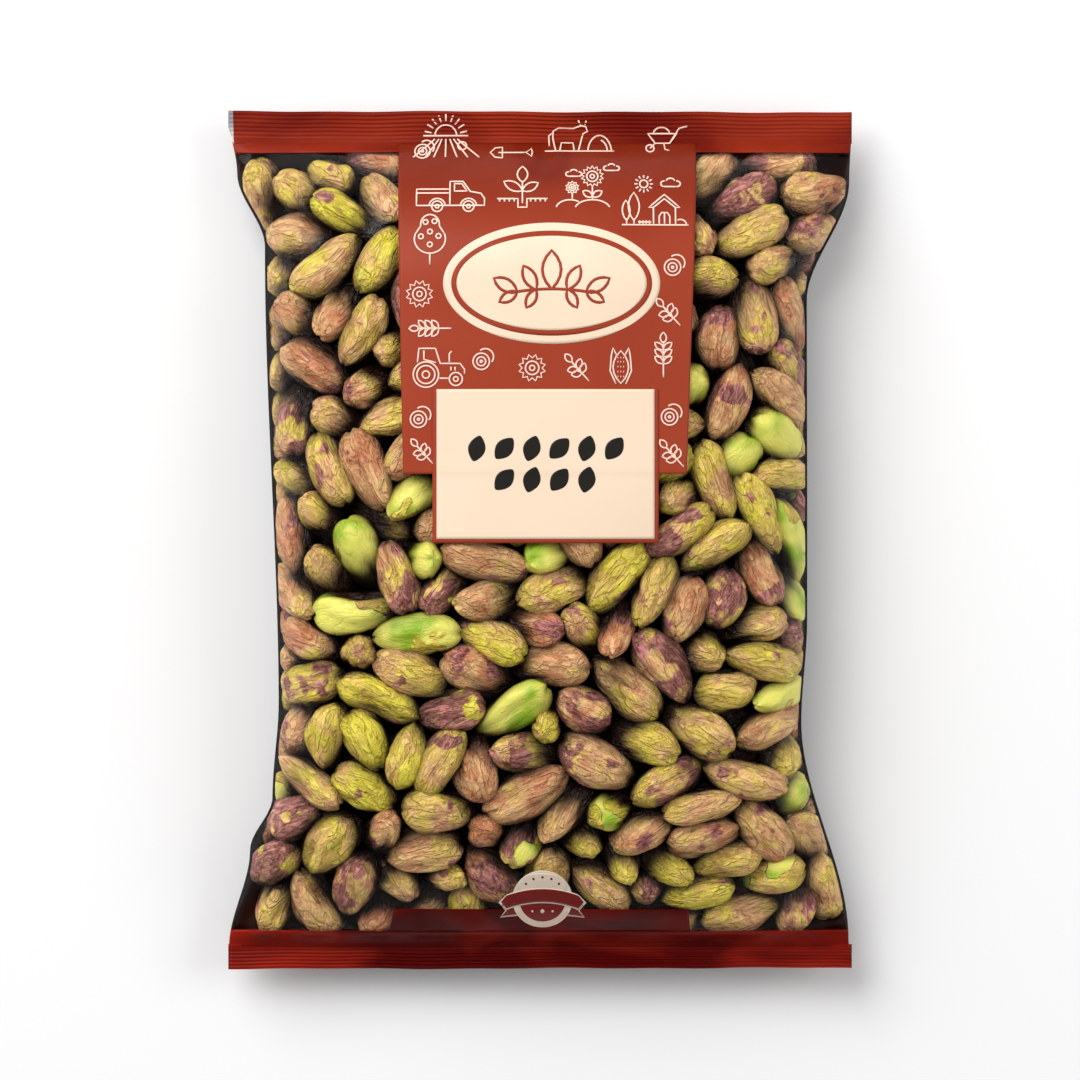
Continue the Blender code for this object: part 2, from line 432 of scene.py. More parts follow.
def settle_kernels(settings, chance):
    """Fills the bag with kernels, and pushes them apart and against the film until they only touch."""
    count = settings.count
    half_long = settings.length / 2 * chance.normal(1.0, 0.09, count).clip(0.74, 1.2)
    half_wide = settings.width / 2 * chance.normal(1.0, 0.08, count).clip(0.78, 1.2)
    half_thick = half_wide * chance.uniform(0.78, 1.0, count)
    y = chance.uniform(BOTTOM_INNER + 5 * MM, TOP_INNER - 5 * MM, count * 6)
    x = chance.uniform(-1, 1, count * 6) * CAD_HIGH.x
    z = chance.uniform(0, 1, count * 6) * CAD_HIGH.z
    inside = (np.abs(x) < half_width(x, y)) & (z < front_height(x, y)) & (z > back_height(x, y))
    centres = np.stack([x, y, z], axis=1)[inside][:count]
    axes = chance.normal(0, 1, (count, 3)) * (1, 1, 0.45)
    axes /= np.linalg.norm(axes, axis=1, keepdims=True)
    along = SPHERES * half_long[:, None]
    radii = SPHERE_SIZES * ((half_wide + half_thick) / 2)[:, None]
    many = len(SPHERES)
    for turn in range(settings.turns):
        if turn % RESORTED == 0:
            first, second = near_pairs(centres, settings.length * 1.25)
        balls = centres[:, None] + axes[:, None] * along[..., None]
        gaps = balls[first][:, :, None] - balls[second][:, None]
        apart = np.linalg.norm(gaps, axis=-1) + 1e-9
        lap = radii[first][:, :, None] + radii[second][:, None] - apart
        pair, one, other = np.nonzero(lap > 0)
        push = gaps[pair, one, other] * (lap / apart)[pair, one, other][:, None] / 2
        moves = np.zeros((count * many, 3))
        shares = np.ones(count * many)
        for index, sign in ((first[pair] * many + one, 1), (second[pair] * many + other, -1)):
            np.add.at(moves, index, sign * push)
            np.add.at(shares, index, 1)
        flat = balls.reshape(-1, 3) + moves / shares[:, None] * EASE
        flat += confine(flat, radii.ravel())
        x, y = centres[:, 0], centres[:, 1]
        middle = (front_height(x, y) + back_height(x, y)) / 2
        balls = flat.reshape(count, many, 3)
        centres = balls.mean(axis=1)
        if turn < settings.turns - QUIET_TURNS:
            centres[:, 2] += np.sign(centres[:, 2] - middle) * settings.pressure
            wide = half_width(centres[:, 0], centres[:, 1])
            centres[:, 0] += (centres[:, 0] / wide) ** 3 * settings.spread
            centres[:, 1] += (centres[:, 1] / HALF_LENGTH) ** 5 * settings.spread
        axes = (balls * along[..., None]).sum(axis=1) - centres * along.sum(axis=1)[:, None]
        axes /= np.linalg.norm(axes, axis=1, keepdims=True)
    most, usual = float(lap.max()) / MM, float(lap[lap > 0].mean()) / MM
    print(f"kernels overlap by {most:.2f} mm at most, {usual:.2f} mm on average")
    return centres, axes, np.stack([half_wide, half_thick, half_long], axis=1)


def kernel_frames(centres, axes, chance):
    """Three directions for each kernel: across it, out of its broad face, and along it."""
    x, y = centres[:, 0], centres[:, 1]
    outward = face_slope(front_height, x, y)
    roll = chance.uniform(-1.2, 1.2, len(x))
    across = np.cross(outward, axes)
    across /= np.linalg.norm(across, axis=1, keepdims=True) + 1e-9
    facing = np.cross(axes, across)
    cosine, sine = np.cos(roll)[:, None], np.sin(roll)[:, None]
    return across * cosine + facing * sine, facing * cosine - across * sine, axes


SIDE_GAP = 0.7 * MM  # least room between a kernel and the side folds
END_GAP = 1.0 * MM  # and between it and the seals
BACK_GAP = 0.35 * MM  # and between it and the back


def pressed_in(points):
    """Keeps the kernels' surface inside the film, which is tight near the side folds and the seals."""
    x, y, z = points.T
    wide = half_width(x, y) - SIDE_GAP
    x = np.clip(x, -wide, wide)
    y = np.clip(y, BOTTOM_INNER + END_GAP, TOP_INNER - END_GAP)
    room = np.minimum(half_width(x, y) - np.abs(x), np.minimum(TOP_INNER - y, y - BOTTOM_INNER))
    slack = 1.8 * MM * smooth((room - 3 * MM) / (6 * MM)) - 0.4 * MM
    tight = smooth((9 * MM - room) / (6 * MM))
    z = np.minimum(z, front_height(x, y) + slack - creased(x, y) * tight)
    z = np.maximum(z, back_height(x, y) + BACK_GAP)
    return np.stack([x, y, z], axis=1)


def depth_inside(points):
    """How far each point lies from the nearest of the front, the back and the side folds."""
    x, y, z = points.T
    room = half_width(x, y) - np.abs(x)
    return np.minimum(np.minimum(front_height(x, y) - z, z - back_height(x, y)), room)


def kernel_surface(unit, sizes, chance):
    """Shapes one unit sphere per kernel. Gives the places and how deep each point lies in a wrinkle."""
    count = len(sizes)

    def vary(low, high):
        return chance.uniform(low, high, (count, 1))

    t = unit[None, :, 2]
    turn = np.arctan2(unit[None, :, 1], unit[None, :, 0]) + vary(-0.5, 0.5) * t
    ring = np.sqrt(np.clip(1 - t * t, 0, 1))
    tip = vary(0.0, 1.0)
    radius = ring ** (0.84 + 0.34 * tip * np.clip((t + 0.2) / 1.2, 0, 1) ** 2)
    radius = radius * (1 - vary(0.02, 0.20) * t)
    wrinkle = np.zeros_like(radius)
    weight = 0
    for folds, share in ((3, 0.9), (5, 1.0), (8, 0.8), (11, 0.4)):
        wander = vary(-1.6, 1.6) * t + vary(0.2, 0.9) * np.sin(vary(2, 5) * t + vary(0, 6.3))
        wave = np.abs(np.sin((turn * folds + vary(0, 6.3)) / 2 + wander)) ** 0.7
        wrinkle = wrinkle + share * wave
        weight += share
    wrinkle = wrinkle / weight
    ends = ring**0.5
    depth = vary(0.2, 0.5)
    radius = radius * (1 - depth * ends * (1 - wrinkle))
    lumps = np.sin(vary(1.5, 4) * t + vary(0, 6.3)) * np.cos(turn * 2 + vary(0, 6.3))
    radius = radius * (1.06 + vary(0.0, 0.10) * lumps)
    dent_at = vary(0, 6.3)
    aside = np.arctan2(np.sin(turn - dent_at), np.cos(turn - dent_at))
    dent = np.exp(-((t - vary(-0.3, 0.3)) / 0.5) ** 2 - (aside / vary(0.5, 0.9)) ** 2)
    radius = radius * (1 - vary(-0.25, 0.42).clip(0) * dent)
    wide, thick, long = (sizes[:, index, None] for index in range(3))
    bow = (t * t - 0.3) * 0.12 * long
    x = radius * np.cos(turn) * wide + vary(-1, 1) * bow
    y = radius * np.sin(turn) * thick + vary(-1, 1) * bow
    z = t * long * (1 + 0.04 * np.sin(3 * turn))
    return np.stack(np.broadcast_arrays(x, y, z), axis=-1), wrinkle * (1 - 0.5 * dent)


DEPTH_UNIT = 12 * MM  # the depth inside the bag that a kernel's material reads as 1
KERNEL_LAYERS = (
    "front_kernels_upper",
    "front_kernels_lower",
    "second_kernels",
    "middle_kernels",
    "back_kernels",
)
FRONT_DEPTH = 8.5 * MM  # how far below the front the middle of a front kernel can be
SECOND_DEPTH = 17 * MM  # and of one in the second layer
BACK_DEPTH = 9 * MM  # how far above the back the middle of a back kernel can be
KINDS = (
    # share of kernels, warmth (0 brown, 1 yellow-green), blush, bareness
    (0.27, (0.20, 0.50), (0.0, 0.34), (0.0, 0.2)),
    (0.24, (0.42, 0.70), (0.0, 0.34), (0.0, 0.3)),
    (0.14, (0.65, 0.95), (0.0, 0.25), (0.0, 0.35)),
    (0.11, (0.05, 0.30), (0.15, 0.50), (0.0, 0.2)),
    (0.15, (0.30, 0.80), (0.44, 0.74), (0.0, 0.3)),
    (0.075, (0.60, 1.00), (0.0, 0.20), (0.50, 0.75)),
    (0.015, (0.60, 1.00), (0.0, 0.00), (0.95, 1.0)),
)


def kernel_tones(count, chance):
    """Warmth, blush and bareness of each kernel's skin."""
    kinds = chance.choice(len(KINDS), count, p=[kind[0] for kind in KINDS])
    ranges = np.array([kind[1:] for kind in KINDS])[kinds]
    return ranges[:, :, 0] + (ranges[:, :, 1] - ranges[:, :, 0]) * chance.random((count, 3))


def kernel_layer(name, replaced, rows, kernels, fineness, material, chance):
    """One piece of many kernels, each of its own shape, wrinkles and colour."""
    centres, frames, sizes, tones = kernels
    single = bmesh.new()
    around, along = fineness
    bmesh.ops.create_uvsphere(single, u_segments=around, v_segments=along, radius=1.0)
    template = bpy.data.meshes.new(name + "_template")
    single.to_mesh(template)
    single.free()
    unit = coordinates(template)
    bm = bmesh.new()
    for _ in rows:
        bm.from_mesh(template)
    bpy.data.meshes.remove(template)
    made = piece_from(bm, name, material, (replaced,))
    places, ridge = kernel_surface(unit, sizes[rows], chance)
    across, facing, lengthwise = (direction[rows] for direction in frames)
    world = (
        centres[rows][:, None]
        + places[..., :1] * across[:, None]
        + places[..., 1:2] * facing[:, None]
        + places[..., 2:] * lengthwise[:, None]
    )
    world = pressed_in(world.reshape(-1, 3))
    made.data.vertices.foreach_set("co", world.reshape(-1))
    made.data.update()
    offsets = np.arange(len(rows))[:, None, None] * np.array((0.031, 0.017, 0.043))
    skin_tones = np.broadcast_to(tones[rows][:, None], (*ridge.shape, 3))
    tone = np.concatenate([skin_tones, ridge[..., None]], axis=-1)
    # Depth inside the bag, which the skin's painted shade reads
    attach(made.data, "kernel_depth", "FLOAT", "value", depth_inside(world) / DEPTH_UNIT)
    attach(made.data, "kernel_place", "FLOAT_VECTOR", "vector", places + offsets)
    attach(made.data, "kernel_tone", "FLOAT_COLOR", "color", tone)
    return made


def kernel_skin(settings):
    """Wrinkled papery skin, tan to yellow-green, with purple blushes and bare bright patches."""
    finish = Finish("kernel_skin")
    place = finish.attribute("kernel_place", "Vector")
    warmth, blush, bare = finish.parts(finish.attribute("kernel_tone", "Vector"))
    ridge = finish.attribute("kernel_tone", "Alpha")
    depth = finish.attribute("kernel_depth")
    lengthwise = finish.placed((1.0, 1.0, 0.34), place)
    patches = finish.noise(place, 125.0, 3.0, 0.5, 0.6)
    streaks = finish.noise(lengthwise, 520.0, 4.0, 0.62, 0.5)
    fine = finish.noise(lengthwise, 1500.0, 3.0, 0.6, 0.3)
    folds = (finish.noise(lengthwise, 330.0, 2.0, 0.5, 0.9) - 0.5).math("ABSOLUTE").step(0.0, 0.09)
    creases = (streaks - 0.5).math("ABSOLUTE").step(0.0, 0.075)
    relief = folds * 0.6 + creases * 0.3 + fine * 0.4
    tone = warmth + (patches - 0.5) * 1.7 + (streaks - 0.5) * 0.6
    skin = finish.ramp(
        tone,
        (
            (0.0, settings.brown_skin),
            (0.36, settings.tan_skin),
            (0.66, settings.olive_skin),
            (1.0, settings.green_skin),
        ),
    )
    stain = finish.noise(place, 120.0, 2.0, 0.5, 0.3) + (streaks - 0.5) * 0.2
    stained = (stain + blush * 0.45 - 0.74).step(-0.015, 0.04)
    purple = finish.mix(streaks.step(0.38, 0.68), settings.purple_blush, settings.pink_blush)
    skin = finish.mix(stained * 0.94, skin, purple)
    # Painted shade in the wrinkles' valleys and folds, and a painted highlight on the fine ridges
    shade = (1 - ridge).step(0.3, 0.95) * 0.5 + (1 - folds) * 0.24 + (1 - creases) * 0.1
    skin = finish.mix(shade, skin, settings.wrinkle_shade, "MULTIPLY")
    skin = finish.mix(fine.step(0.42, 0.7) * 0.55, skin, settings.skin_highlight, "SCREEN")
    peel = finish.noise(place, 105.0, 2.0, 0.45, 0.2)
    peeled = (peel + bare * 0.75 - 0.88).step(-0.012, 0.012)
    greener = finish.noise(place, 90.0, 2.0).step(0.45, 0.66)
    flesh = finish.mix(greener, settings.bare_yellow, settings.bare_green)
    colour = finish.mix(peeled, skin, flesh)
    # Painted shade: the deeper a point lies inside the bag, the darker it is made
    colour = finish.mix(depth.step(0.05, 0.41), colour, settings.deep_shade, "MULTIPLY")
    rough = 0.54 - fine * 0.18 - peeled * 0.12
    coarse_bump = finish.bump(relief * (1 - peeled * 0.8), 1.0, 0.75 * MM)
    fine_bump = finish.bump(fine * (1 - peeled * 0.8), 0.5, 0.2 * MM, coarse_bump)
    shader = finish.principled(
        base_color=colour,
        roughness=rough,
        specular_ior_level=0.38,
        normal=fine_bump,
    )
    return finish.surface(shader)


# ---------------------------------------------------------------- film


FIELD_STEP = 1.5 * MM
FIELD_HALF = 78 * MM
FILM_GAP = 0.3 * MM  # least room between a kernel and the film's front
MOST_DRAWN = 3.0 * MM  # most that the kernels move the front from its smooth shape
BACK_OVER_FLOOR = 0.13 * MM  # the film's back over the floor, with room for its print between them


def field_axes():
    """Places of the height field's columns and rows."""
    columns = np.arange(-FIELD_HALF, FIELD_HALF + 0.1 * MM, FIELD_STEP)
    rows = np.arange(BOTTOM_INNER, TOP_INNER + FIELD_STEP, FIELD_STEP)
    return columns, rows


def kernel_tops(points, columns, rows):
    """Highest kernel point over each cell of the field."""
    tops = np.full((len(rows), len(columns)), -1.0)
    across = np.rint((points[:, 0] - columns[0]) / FIELD_STEP).astype(int).clip(1, len(columns) - 2)
    along = np.rint((points[:, 1] - rows[0]) / FIELD_STEP).astype(int).clip(1, len(rows) - 2)
    for aside, ahead in ((0, 0), (1, 0), (-1, 0), (0, 1), (0, -1)):
        np.maximum.at(tops, (along + ahead, across + aside), points[:, 2])
    return tops


def four_about(field):
    """Sum of the four cells about each inner cell."""
    return field[2:, 1:-1] + field[:-2, 1:-1] + field[1:-1, 2:] + field[1:-1, :-2]


def blurred(field):
    soft = field.copy()
    soft[1:-1, 1:-1] = (field[1:-1, 1:-1] * 4 + four_about(field)) / 8
    return soft


def taut_under_print(offset):
    """Where it is printed or labelled the film is stiffer, and spans smoothly from kernel to kernel."""
    columns, rows = field_axes()
    x, y = np.meshgrid(columns / MM, rows / MM)
    spanned = offset
    for _ in range(5):
        shifted = [np.roll(spanned, by, axis) for by in (-1, 1) for axis in (0, 1)]
        spanned = np.maximum.reduce([spanned, *shifted])
    for _ in range(30):
        spanned = blurred(spanned)
    panel = smooth((43 - np.abs(x - 1.5)) / 6) * smooth((y + 5) / 6) * smooth((TOP_INNER / MM - 1 - y) / 9)
    foot = smooth((41 - np.abs(x)) / 5) * smooth((-77 - y) / 6) * smooth((y - BOTTOM_INNER / MM - 1) / 9)
    return offset + (np.maximum(spanned, offset) - offset) * np.maximum(panel, foot)


def drawn_film(points):
    """How far the film lies below or above its smooth shape, drawn tight over the kernels."""
    columns, rows = field_axes()
    x, y = np.meshgrid(columns, rows)
    plain = front_height(x, y)
    least = kernel_tops(points, columns, rows) + FILM_GAP
    held = half_width(x, y) - np.abs(x) < 5 * MM
    held[:2] = held[-2:] = True
    level = plain.copy()
    for _ in range(160):
        around = level.copy()
        around[1:-1, 1:-1] = four_about(level) / 4
        level = np.where(held, plain, np.maximum(around, least))
    return taut_under_print(blurred(np.clip(level - plain, -MOST_DRAWN, MOST_DRAWN)))


def sampled(field, x, y):
    """The field's value at each place, worked out between its four nearest cells."""
    columns, rows = field_axes()
    across = np.clip((x - columns[0]) / FIELD_STEP, 0, len(columns) - 1.001)
    along = np.clip((y - rows[0]) / FIELD_STEP, 0, len(rows) - 1.001)
    i, j = along.astype(int), across.astype(int)
    down, right = along - i, across - j
    upper = field[i, j] * (1 - right) + field[i, j + 1] * right
    lower = field[i + 1, j] * (1 - right) + field[i + 1, j + 1] * right
    return upper * (1 - down) + lower * down


# Creases that run from a seal into the bag: place across at the seal, lean, length, depth, width
TOP_CREASES = (
    (-62, 0.25, 26, 1.3, 2.6),
    (-47, 0.10, 14, 0.7, 1.8),
    (-20, -0.05, 12, 0.5, 2.0),
    (0, 0.30, 22, 1.2, 2.4),
    (3, -0.45, 20, 1.0, 2.2),
    (27, -0.10, 12, 0.5, 1.8),
    (49, -0.20, 18, 0.9, 2.2),
    (64, -0.45, 30, 1.4, 2.8),
)
BOTTOM_CREASES = (
    (-66, 0.50, 34, 1.4, 3.0),
    (-50, 0.20, 20, 0.9, 2.2),
    (-28, 0.10, 12, 0.5, 2.0),
    (-6, -0.20, 16, 0.8, 2.2),
    (22, -0.10, 12, 0.5, 2.0),
    (45, -0.30, 22, 1.0, 2.4),
    (66, -0.50, 36, 1.5, 3.0),
)


def creased(x, y):
    """Depth of the creases that the seals gather the film into."""
    depth = np.zeros_like(x)
    for creases, away in ((TOP_CREASES, TOP_INNER - y), (BOTTOM_CREASES, y - BOTTOM_INNER)):
        for across, lean, length, deep, wide in creases:
            run = np.clip(away / (length * MM), 0, 1)
            aside = (x - across * MM - lean * away) / (wide * MM * (0.5 + run))
            depth += deep * MM * (1 - run) ** 1.4 * np.exp(-(aside**2)) * smooth(away / (4 * MM))
    return depth


def film_material(settings):
    """Clear glossy film: what lies behind it shows, under highlights that follow its creases."""
    finish = Finish("clear_film")
    place = finish.placed()
    wrinkles = finish.noise(place, 55.0, 3.0, 0.5, 0.8)
    ripples = finish.noise(finish.placed((1.0, 0.35, 1.0)), 160.0, 2.0, 0.5)
    normal = finish.bump(wrinkles + ripples * 0.3, 0.35, 1.2 * MM)
    facing = finish.node("ShaderNodeFresnel", None, {"IOR": 1.45, "Normal": normal})
    sockets = {"Roughness": settings.film_roughness, "Normal": normal}
    gloss = finish.node("ShaderNodeBsdfGlossy", None, sockets)
    clear = finish.node("ShaderNodeBsdfTransparent", None, {"Color": settings.film_tint})
    share = ((facing - settings.film_still) * settings.film_gloss).math("MINIMUM", settings.film_most)
    return finish.surface(finish.node("ShaderNodeMixShader", None, (share, clear, gloss)))


def web_places(share, y, offset, proud=0.0):
    """Places on the web. Share runs from -1 to 1 round the bag, and starts in the middle of its back."""
    turn = math.pi * (1 + 0.75 * share + 0.25 * share**3)
    side = -np.sin(turn)
    x = side * half_width(side, y)
    raised = front_height(x, y) + sampled(offset, x, y) - creased(x, y) + proud
    lowered = np.maximum(back_height(x, y), BACK_OVER_FLOOR) - proud
    z = np.where(np.cos(turn) < 0, raised, lowered)
    return np.stack([x + side * proud, y, z], axis=1)


def web_piece(name, low, high, rows, offset, proud, material, settings, replaces=(), shares=(-1, 1)):
    """A stretch of the web from low to high along the bag, and round the shares of it that are given."""
    bm = bmesh.new()
    columns = round(settings.film_columns * (shares[1] - shares[0]) / 2)
    bmesh.ops.create_grid(bm, x_segments=columns, y_segments=rows, size=1)
    places = vertex_places(bm)
    y = low + (high - low) * (places[:, 1] + 1) / 2
    share = shares[0] + (shares[1] - shares[0]) * (places[:, 0] + 1) / 2
    share = np.where(share > 1, share - 2, share)
    set_places(bm, web_places(share, y, offset, proud))
    bmesh.ops.remove_doubles(bm, verts=bm.verts, dist=0.02 * MM)
    bmesh.ops.recalc_face_normals(bm, faces=bm.faces)
    return thicken(piece_from(bm, name, material, replaces), settings.film_thickness)


def build_film(settings):
    """The web of clear film, drawn tight over the kernels, and its printed ends and back."""
    layers = [piece for piece in bpy.data.objects if piece.name in KERNEL_LAYERS]
    if len(layers) < len(KERNEL_LAYERS):
        raise RuntimeError("Fill the bag with kernels before the film is drawn over them")
    offset = drawn_film(np.concatenate([coordinates(piece.data) for piece in layers]))
    lap = 0.5 * MM
    clear = film_material(settings)
    low, high = BOTTOM_INNER - lap, TOP_INNER + lap
    rows = settings.film_rows
    web_piece("film", low, high, rows, offset, 0.0, clear, settings, ("film_web",))
    top = band_ink("top_band_ink", settings.band_brown, settings.band_deep)
    foot = band_ink("foot_band_ink", settings.foot_brown, settings.foot_deep, middle=0.6)
    back = band_ink("back_ink", settings.back_brown, settings.back_deep)
    top_low, foot_high = TOP_INNER - settings.top_band, BOTTOM_INNER + settings.foot_band
    proud = settings.film_thickness + 0.02 * MM
    web_piece("top_band", top_low, high, 6, offset, proud, top, settings)
    web_piece("foot_band", low, foot_high, 8, offset, proud, foot, settings)
    fold = 0.602  # the side folds' share of the way round
    shares = (fold, 2 - fold)
    web_piece(
        "back_print", foot_high, top_low, 120, offset, proud, back, settings, shares=shares
    )


# ---------------------------------------------------------------- seals


def band_ink(name, colour, deep, bare_past=None, middle=0.0):
    """Brown ink on glossy film, a little uneven.

    Left of bare_past the film has no ink. Middle is how much darker the colour is made about the bag's middle
    line.
    """
    finish = Finish(name)
    place = finish.placed((1.0, 2.5, 1.0))
    cloud = finish.noise(place, 22.0, 3.0, 0.5, 0.6)
    grain = finish.noise(finish.placed(), 900.0, 2.0)
    x, y, _ = finish.parts(finish.own_place())
    central = 1 - x.math("ABSOLUTE").step(12 * MM, 62 * MM)
    colour = finish.mix((cloud.step(0.32, 0.68) + central * middle).math("MINIMUM", 1.0), colour, deep)
    if bare_past is not None:
        beyond = bare_past - x - (y - TOP_INNER) * 0.04 + (cloud - 0.5) * 0.6 * MM
        bare = beyond.step(-0.1 * MM, 0.1 * MM)
        silver = finish.mix(y.step(TOP_INNER, TOP_INNER + 6 * MM), (0.8, 0.8, 0.8), (0.26, 0.26, 0.28))
        colour = finish.mix(bare, colour, silver)
    normal = finish.bump(cloud + grain * 0.05, 0.25, 0.6 * MM)
    return finish.ink(colour, 0.27 + grain * 0.08, 0.03, 0.07, normal)


def crimped_seal(name, replaced, inner, outer, ribs, material, settings):
    """Two plies of film welded between ribbed jaws. The ribs run across the bag."""
    bm, places, upper = two_plies(150, ribs * 8)
    share = (places[:, 1] + 1) / 2
    x = places[:, 0] * CAD_HIGH.x
    if outer > 0:  # the top seal's left end is cut back towards the bag, where the film curls
        x = x + 1.25 * MM * smooth(1 - share / 0.55) * smooth((-0.93 - places[:, 0]) / 0.07)
    flutter = 0.35 * np.sin(x / (9 * MM) + 1.0) + 0.25 * np.sin(x / (3.7 * MM))
    flutter += 0.5 * np.sin(x / (31 * MM))
    y = inner + (outer - inner) * share
    ripple = np.sin((share * ribs + flutter * 0.22) * 2 * math.pi)
    edge = smooth(share / 0.5) * smooth((1 - share) / 0.08) * (0.85 + 0.35 * np.sin(x / (23 * MM) + 2.0))
    lift = 0.6 * np.sin(x / (31 * MM)) + 0.35 * np.sin(x / (14 * MM) + 1.0)
    z = seam_height(y) + lift * share * MM + settings.rib_height * ripple * edge
    z += np.where(upper, 1, -1) * settings.seal_ply
    y = y - np.sign(outer) * 0.3 * flutter * share * MM
    set_places(bm, np.stack([x, y, z], axis=1))
    bmesh.ops.recalc_face_normals(bm, faces=bm.faces)
    return piece_from(bm, name, material, (replaced,))


def fin_seal(material, settings):
    """The web's two edges, welded with ribs along the bag and folded flat under its back."""
    low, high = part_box("back_fin_seal")
    bm, places, upper = two_plies(48, 160)
    across, along = (places[:, 0] + 1) / 2, (places[:, 1] + 1) / 2
    x = low.x + (high.x - low.x) * across
    y = low.y + (high.y - low.y) * along
    ribs = np.sin(across * settings.fin_ribs * 2 * math.pi) * smooth(np.minimum(across, 1 - across) / 0.1)
    half = min((high.z - low.z) / 2, settings.seal_ply) - settings.rib_height / 2
    z = (low.z + high.z) / 2 + np.where(upper, half, -half) + settings.rib_height / 2 * ribs
    set_places(bm, np.stack([x, y, z], axis=1))
    bmesh.ops.recalc_face_normals(bm, faces=bm.faces)
    return piece_from(bm, "fin_seal", material, ("back_fin_seal",))


# ---------------------------------------------------------------- print


PANEL_TOP, PANEL_FOOT = 98.7, 16.1  # mm, on the bag's own axes
PANEL_LEFT, PANEL_RIGHT = (-35.1, -33.4), (38.8, 35.8)  # at the panel's top and at its foot
LABEL_CENTRE = (1.35, 18.0)
LABEL_HALF = (27.55, 18.75)
LABEL_BORDER = 1.0
OVAL_CENTRE, OVAL_HALF = (2.85, 62.7), (26.5, 14.9)
BADGE_CENTRE, BADGE_RADIUS = (0.6, -88.5), 7.4
FOOT_LEFT, FOOT_RIGHT = -36.1, 36.6  # the patch above the bottom seal
FOOT_TOP, FOOT_FOOT = -91.0, -96.9
FOOT_SLANT = 1.2

# How far the face of a printed layer is above what it lies on, and how thick the thin ones are
PANEL_LIFT = 0.14 * MM
STICKER_LIFT = 0.2 * MM
INK_LIFT = 0.07 * MM
DOT_LIFT = 0.05 * MM
THIN_INK = 0.05 * MM


def heights_under(points, below):
    """Height of the topmost of the named pieces under each place."""
    graph = bpy.context.evaluated_depsgraph_get()
    trees = []
    for name in below:
        piece = bpy.data.objects.get(name)
        if piece is None:
            raise RuntimeError(f"Make {name} before anything is printed on it")
        trees.append(BVHTree.FromObject(piece, graph))
    down = Vector((0, 0, -1))
    heights = []
    for x, y in points:
        hits = [tree.ray_cast((x, y, CAD_HIGH.z * 2), down)[0] for tree in trees]
        tops = [hit.z for hit in hits if hit is not None]
        heights.append(max(tops) if tops else float(seam_height(y)))
    return heights


def lay_on(bm, below, lift):
    """Lays a flat drawing on the pieces below it, and keeps its own relief."""
    heights = heights_under([(corner.co.x, corner.co.y) for corner in bm.verts], below)
    for corner, height in zip(bm.verts, heights):
        corner.co.z += height + lift


def add_sheet(bm, shape, columns, rows):
    """Adds a flat grid, where shape turns places from -1 to 1 both ways into millimetres."""
    made = bmesh.ops.create_grid(bm, x_segments=columns, y_segments=rows, size=1)["verts"]
    for corner in made:
        x, y = shape(corner.co.x, corner.co.y)
        corner.co = (x * MM, y * MM, 0)


def heading(degrees):
    """Cosine and sine of an angle."""
    angle = math.radians(degrees)
    return math.cos(angle), math.sin(angle)


def rectangle(centre, half):
    return lambda u, v: (centre[0] + half[0] * u, centre[1] + half[1] * v)


def rounded(centre, half, turn=0.0, pointed=0.0):
    """An oval, drawn from the grid's square. Pointed draws its ends out."""
    cosine, sine = heading(turn)

    def shape(u, v):
        across, up = u * math.sqrt(1 - v * v / 2), v * math.sqrt(1 - u * u / 2)
        x = half[0] * across
        y = half[1] * up * (1 - pointed * across * across)
        return centre[0] + x * cosine - y * sine, centre[1] + x * sine + y * cosine

    return shape


def panel_shape(u, v):
    share = (1 - v) / 2
    left = PANEL_LEFT[0] + (PANEL_LEFT[1] - PANEL_LEFT[0]) * share
    right = PANEL_RIGHT[0] + (PANEL_RIGHT[1] - PANEL_RIGHT[0]) * share
    return left + (right - left) * (u + 1) / 2, PANEL_TOP + (PANEL_FOOT - PANEL_TOP) * share


def foot_shape(u, v):
    slant = FOOT_SLANT * (v + 1) / 2
    left, right = FOOT_LEFT - FOOT_SLANT + slant, FOOT_RIGHT + (FOOT_SLANT - slant) / 2
    return left + (right - left) * (u + 1) / 2, FOOT_FOOT + (FOOT_TOP - FOOT_FOOT) * (v + 1) / 2


def ribbon_shape(u, v):
    """A banner that arches over the badge."""
    x = u * (8.9 + 1.3 * (1 - abs(v)) * max(abs(u) - 0.75, 0) * 4)
    return BADGE_CENTRE[0] + x, BADGE_CENTRE[1] + 1.0 + 1.65 * v - 1.7 * u * u


def tail_shape(side, grow=0.0):
    """A folded end of the banner, forked, on the side given: -1 left, 1 right."""

    def shape(u, v):
        out = (u + 1) / 2
        x = 6.2 - grow + out * (3.9 + 2 * grow - 1.3 * (1 - abs(v)) * out)
        y = -2.4 + (1.5 + grow) * v - 0.5 * out
        return BADGE_CENTRE[0] + side * x, BADGE_CENTRE[1] + y

    return shape


def around_badge(count, radius, start, end):
    """Places on a ring about the badge's middle."""
    turns = [heading(start + (end - start) * index / (count - 1)) for index in range(count)]
    x, y = BADGE_CENTRE
    return [(x + radius * cosine, y + radius * sine) for cosine, sine in turns]


def printed(name, shapes, below, lift, material, thickness=0.06 * MM, replaces=()):
    """A thin printed layer: one sheet for each (shape, columns, rows)."""
    bm = bmesh.new()
    for shape, columns, rows in shapes:
        add_sheet(bm, shape, columns, rows)
    lay_on(bm, below, lift)
    bmesh.ops.recalc_face_normals(bm, faces=bm.faces)
    if sum(face.normal.z for face in bm.faces) < 0:
        bmesh.ops.reverse_faces(bm, faces=bm.faces)
    return thicken(piece_from(bm, name, material, replaces), thickness)


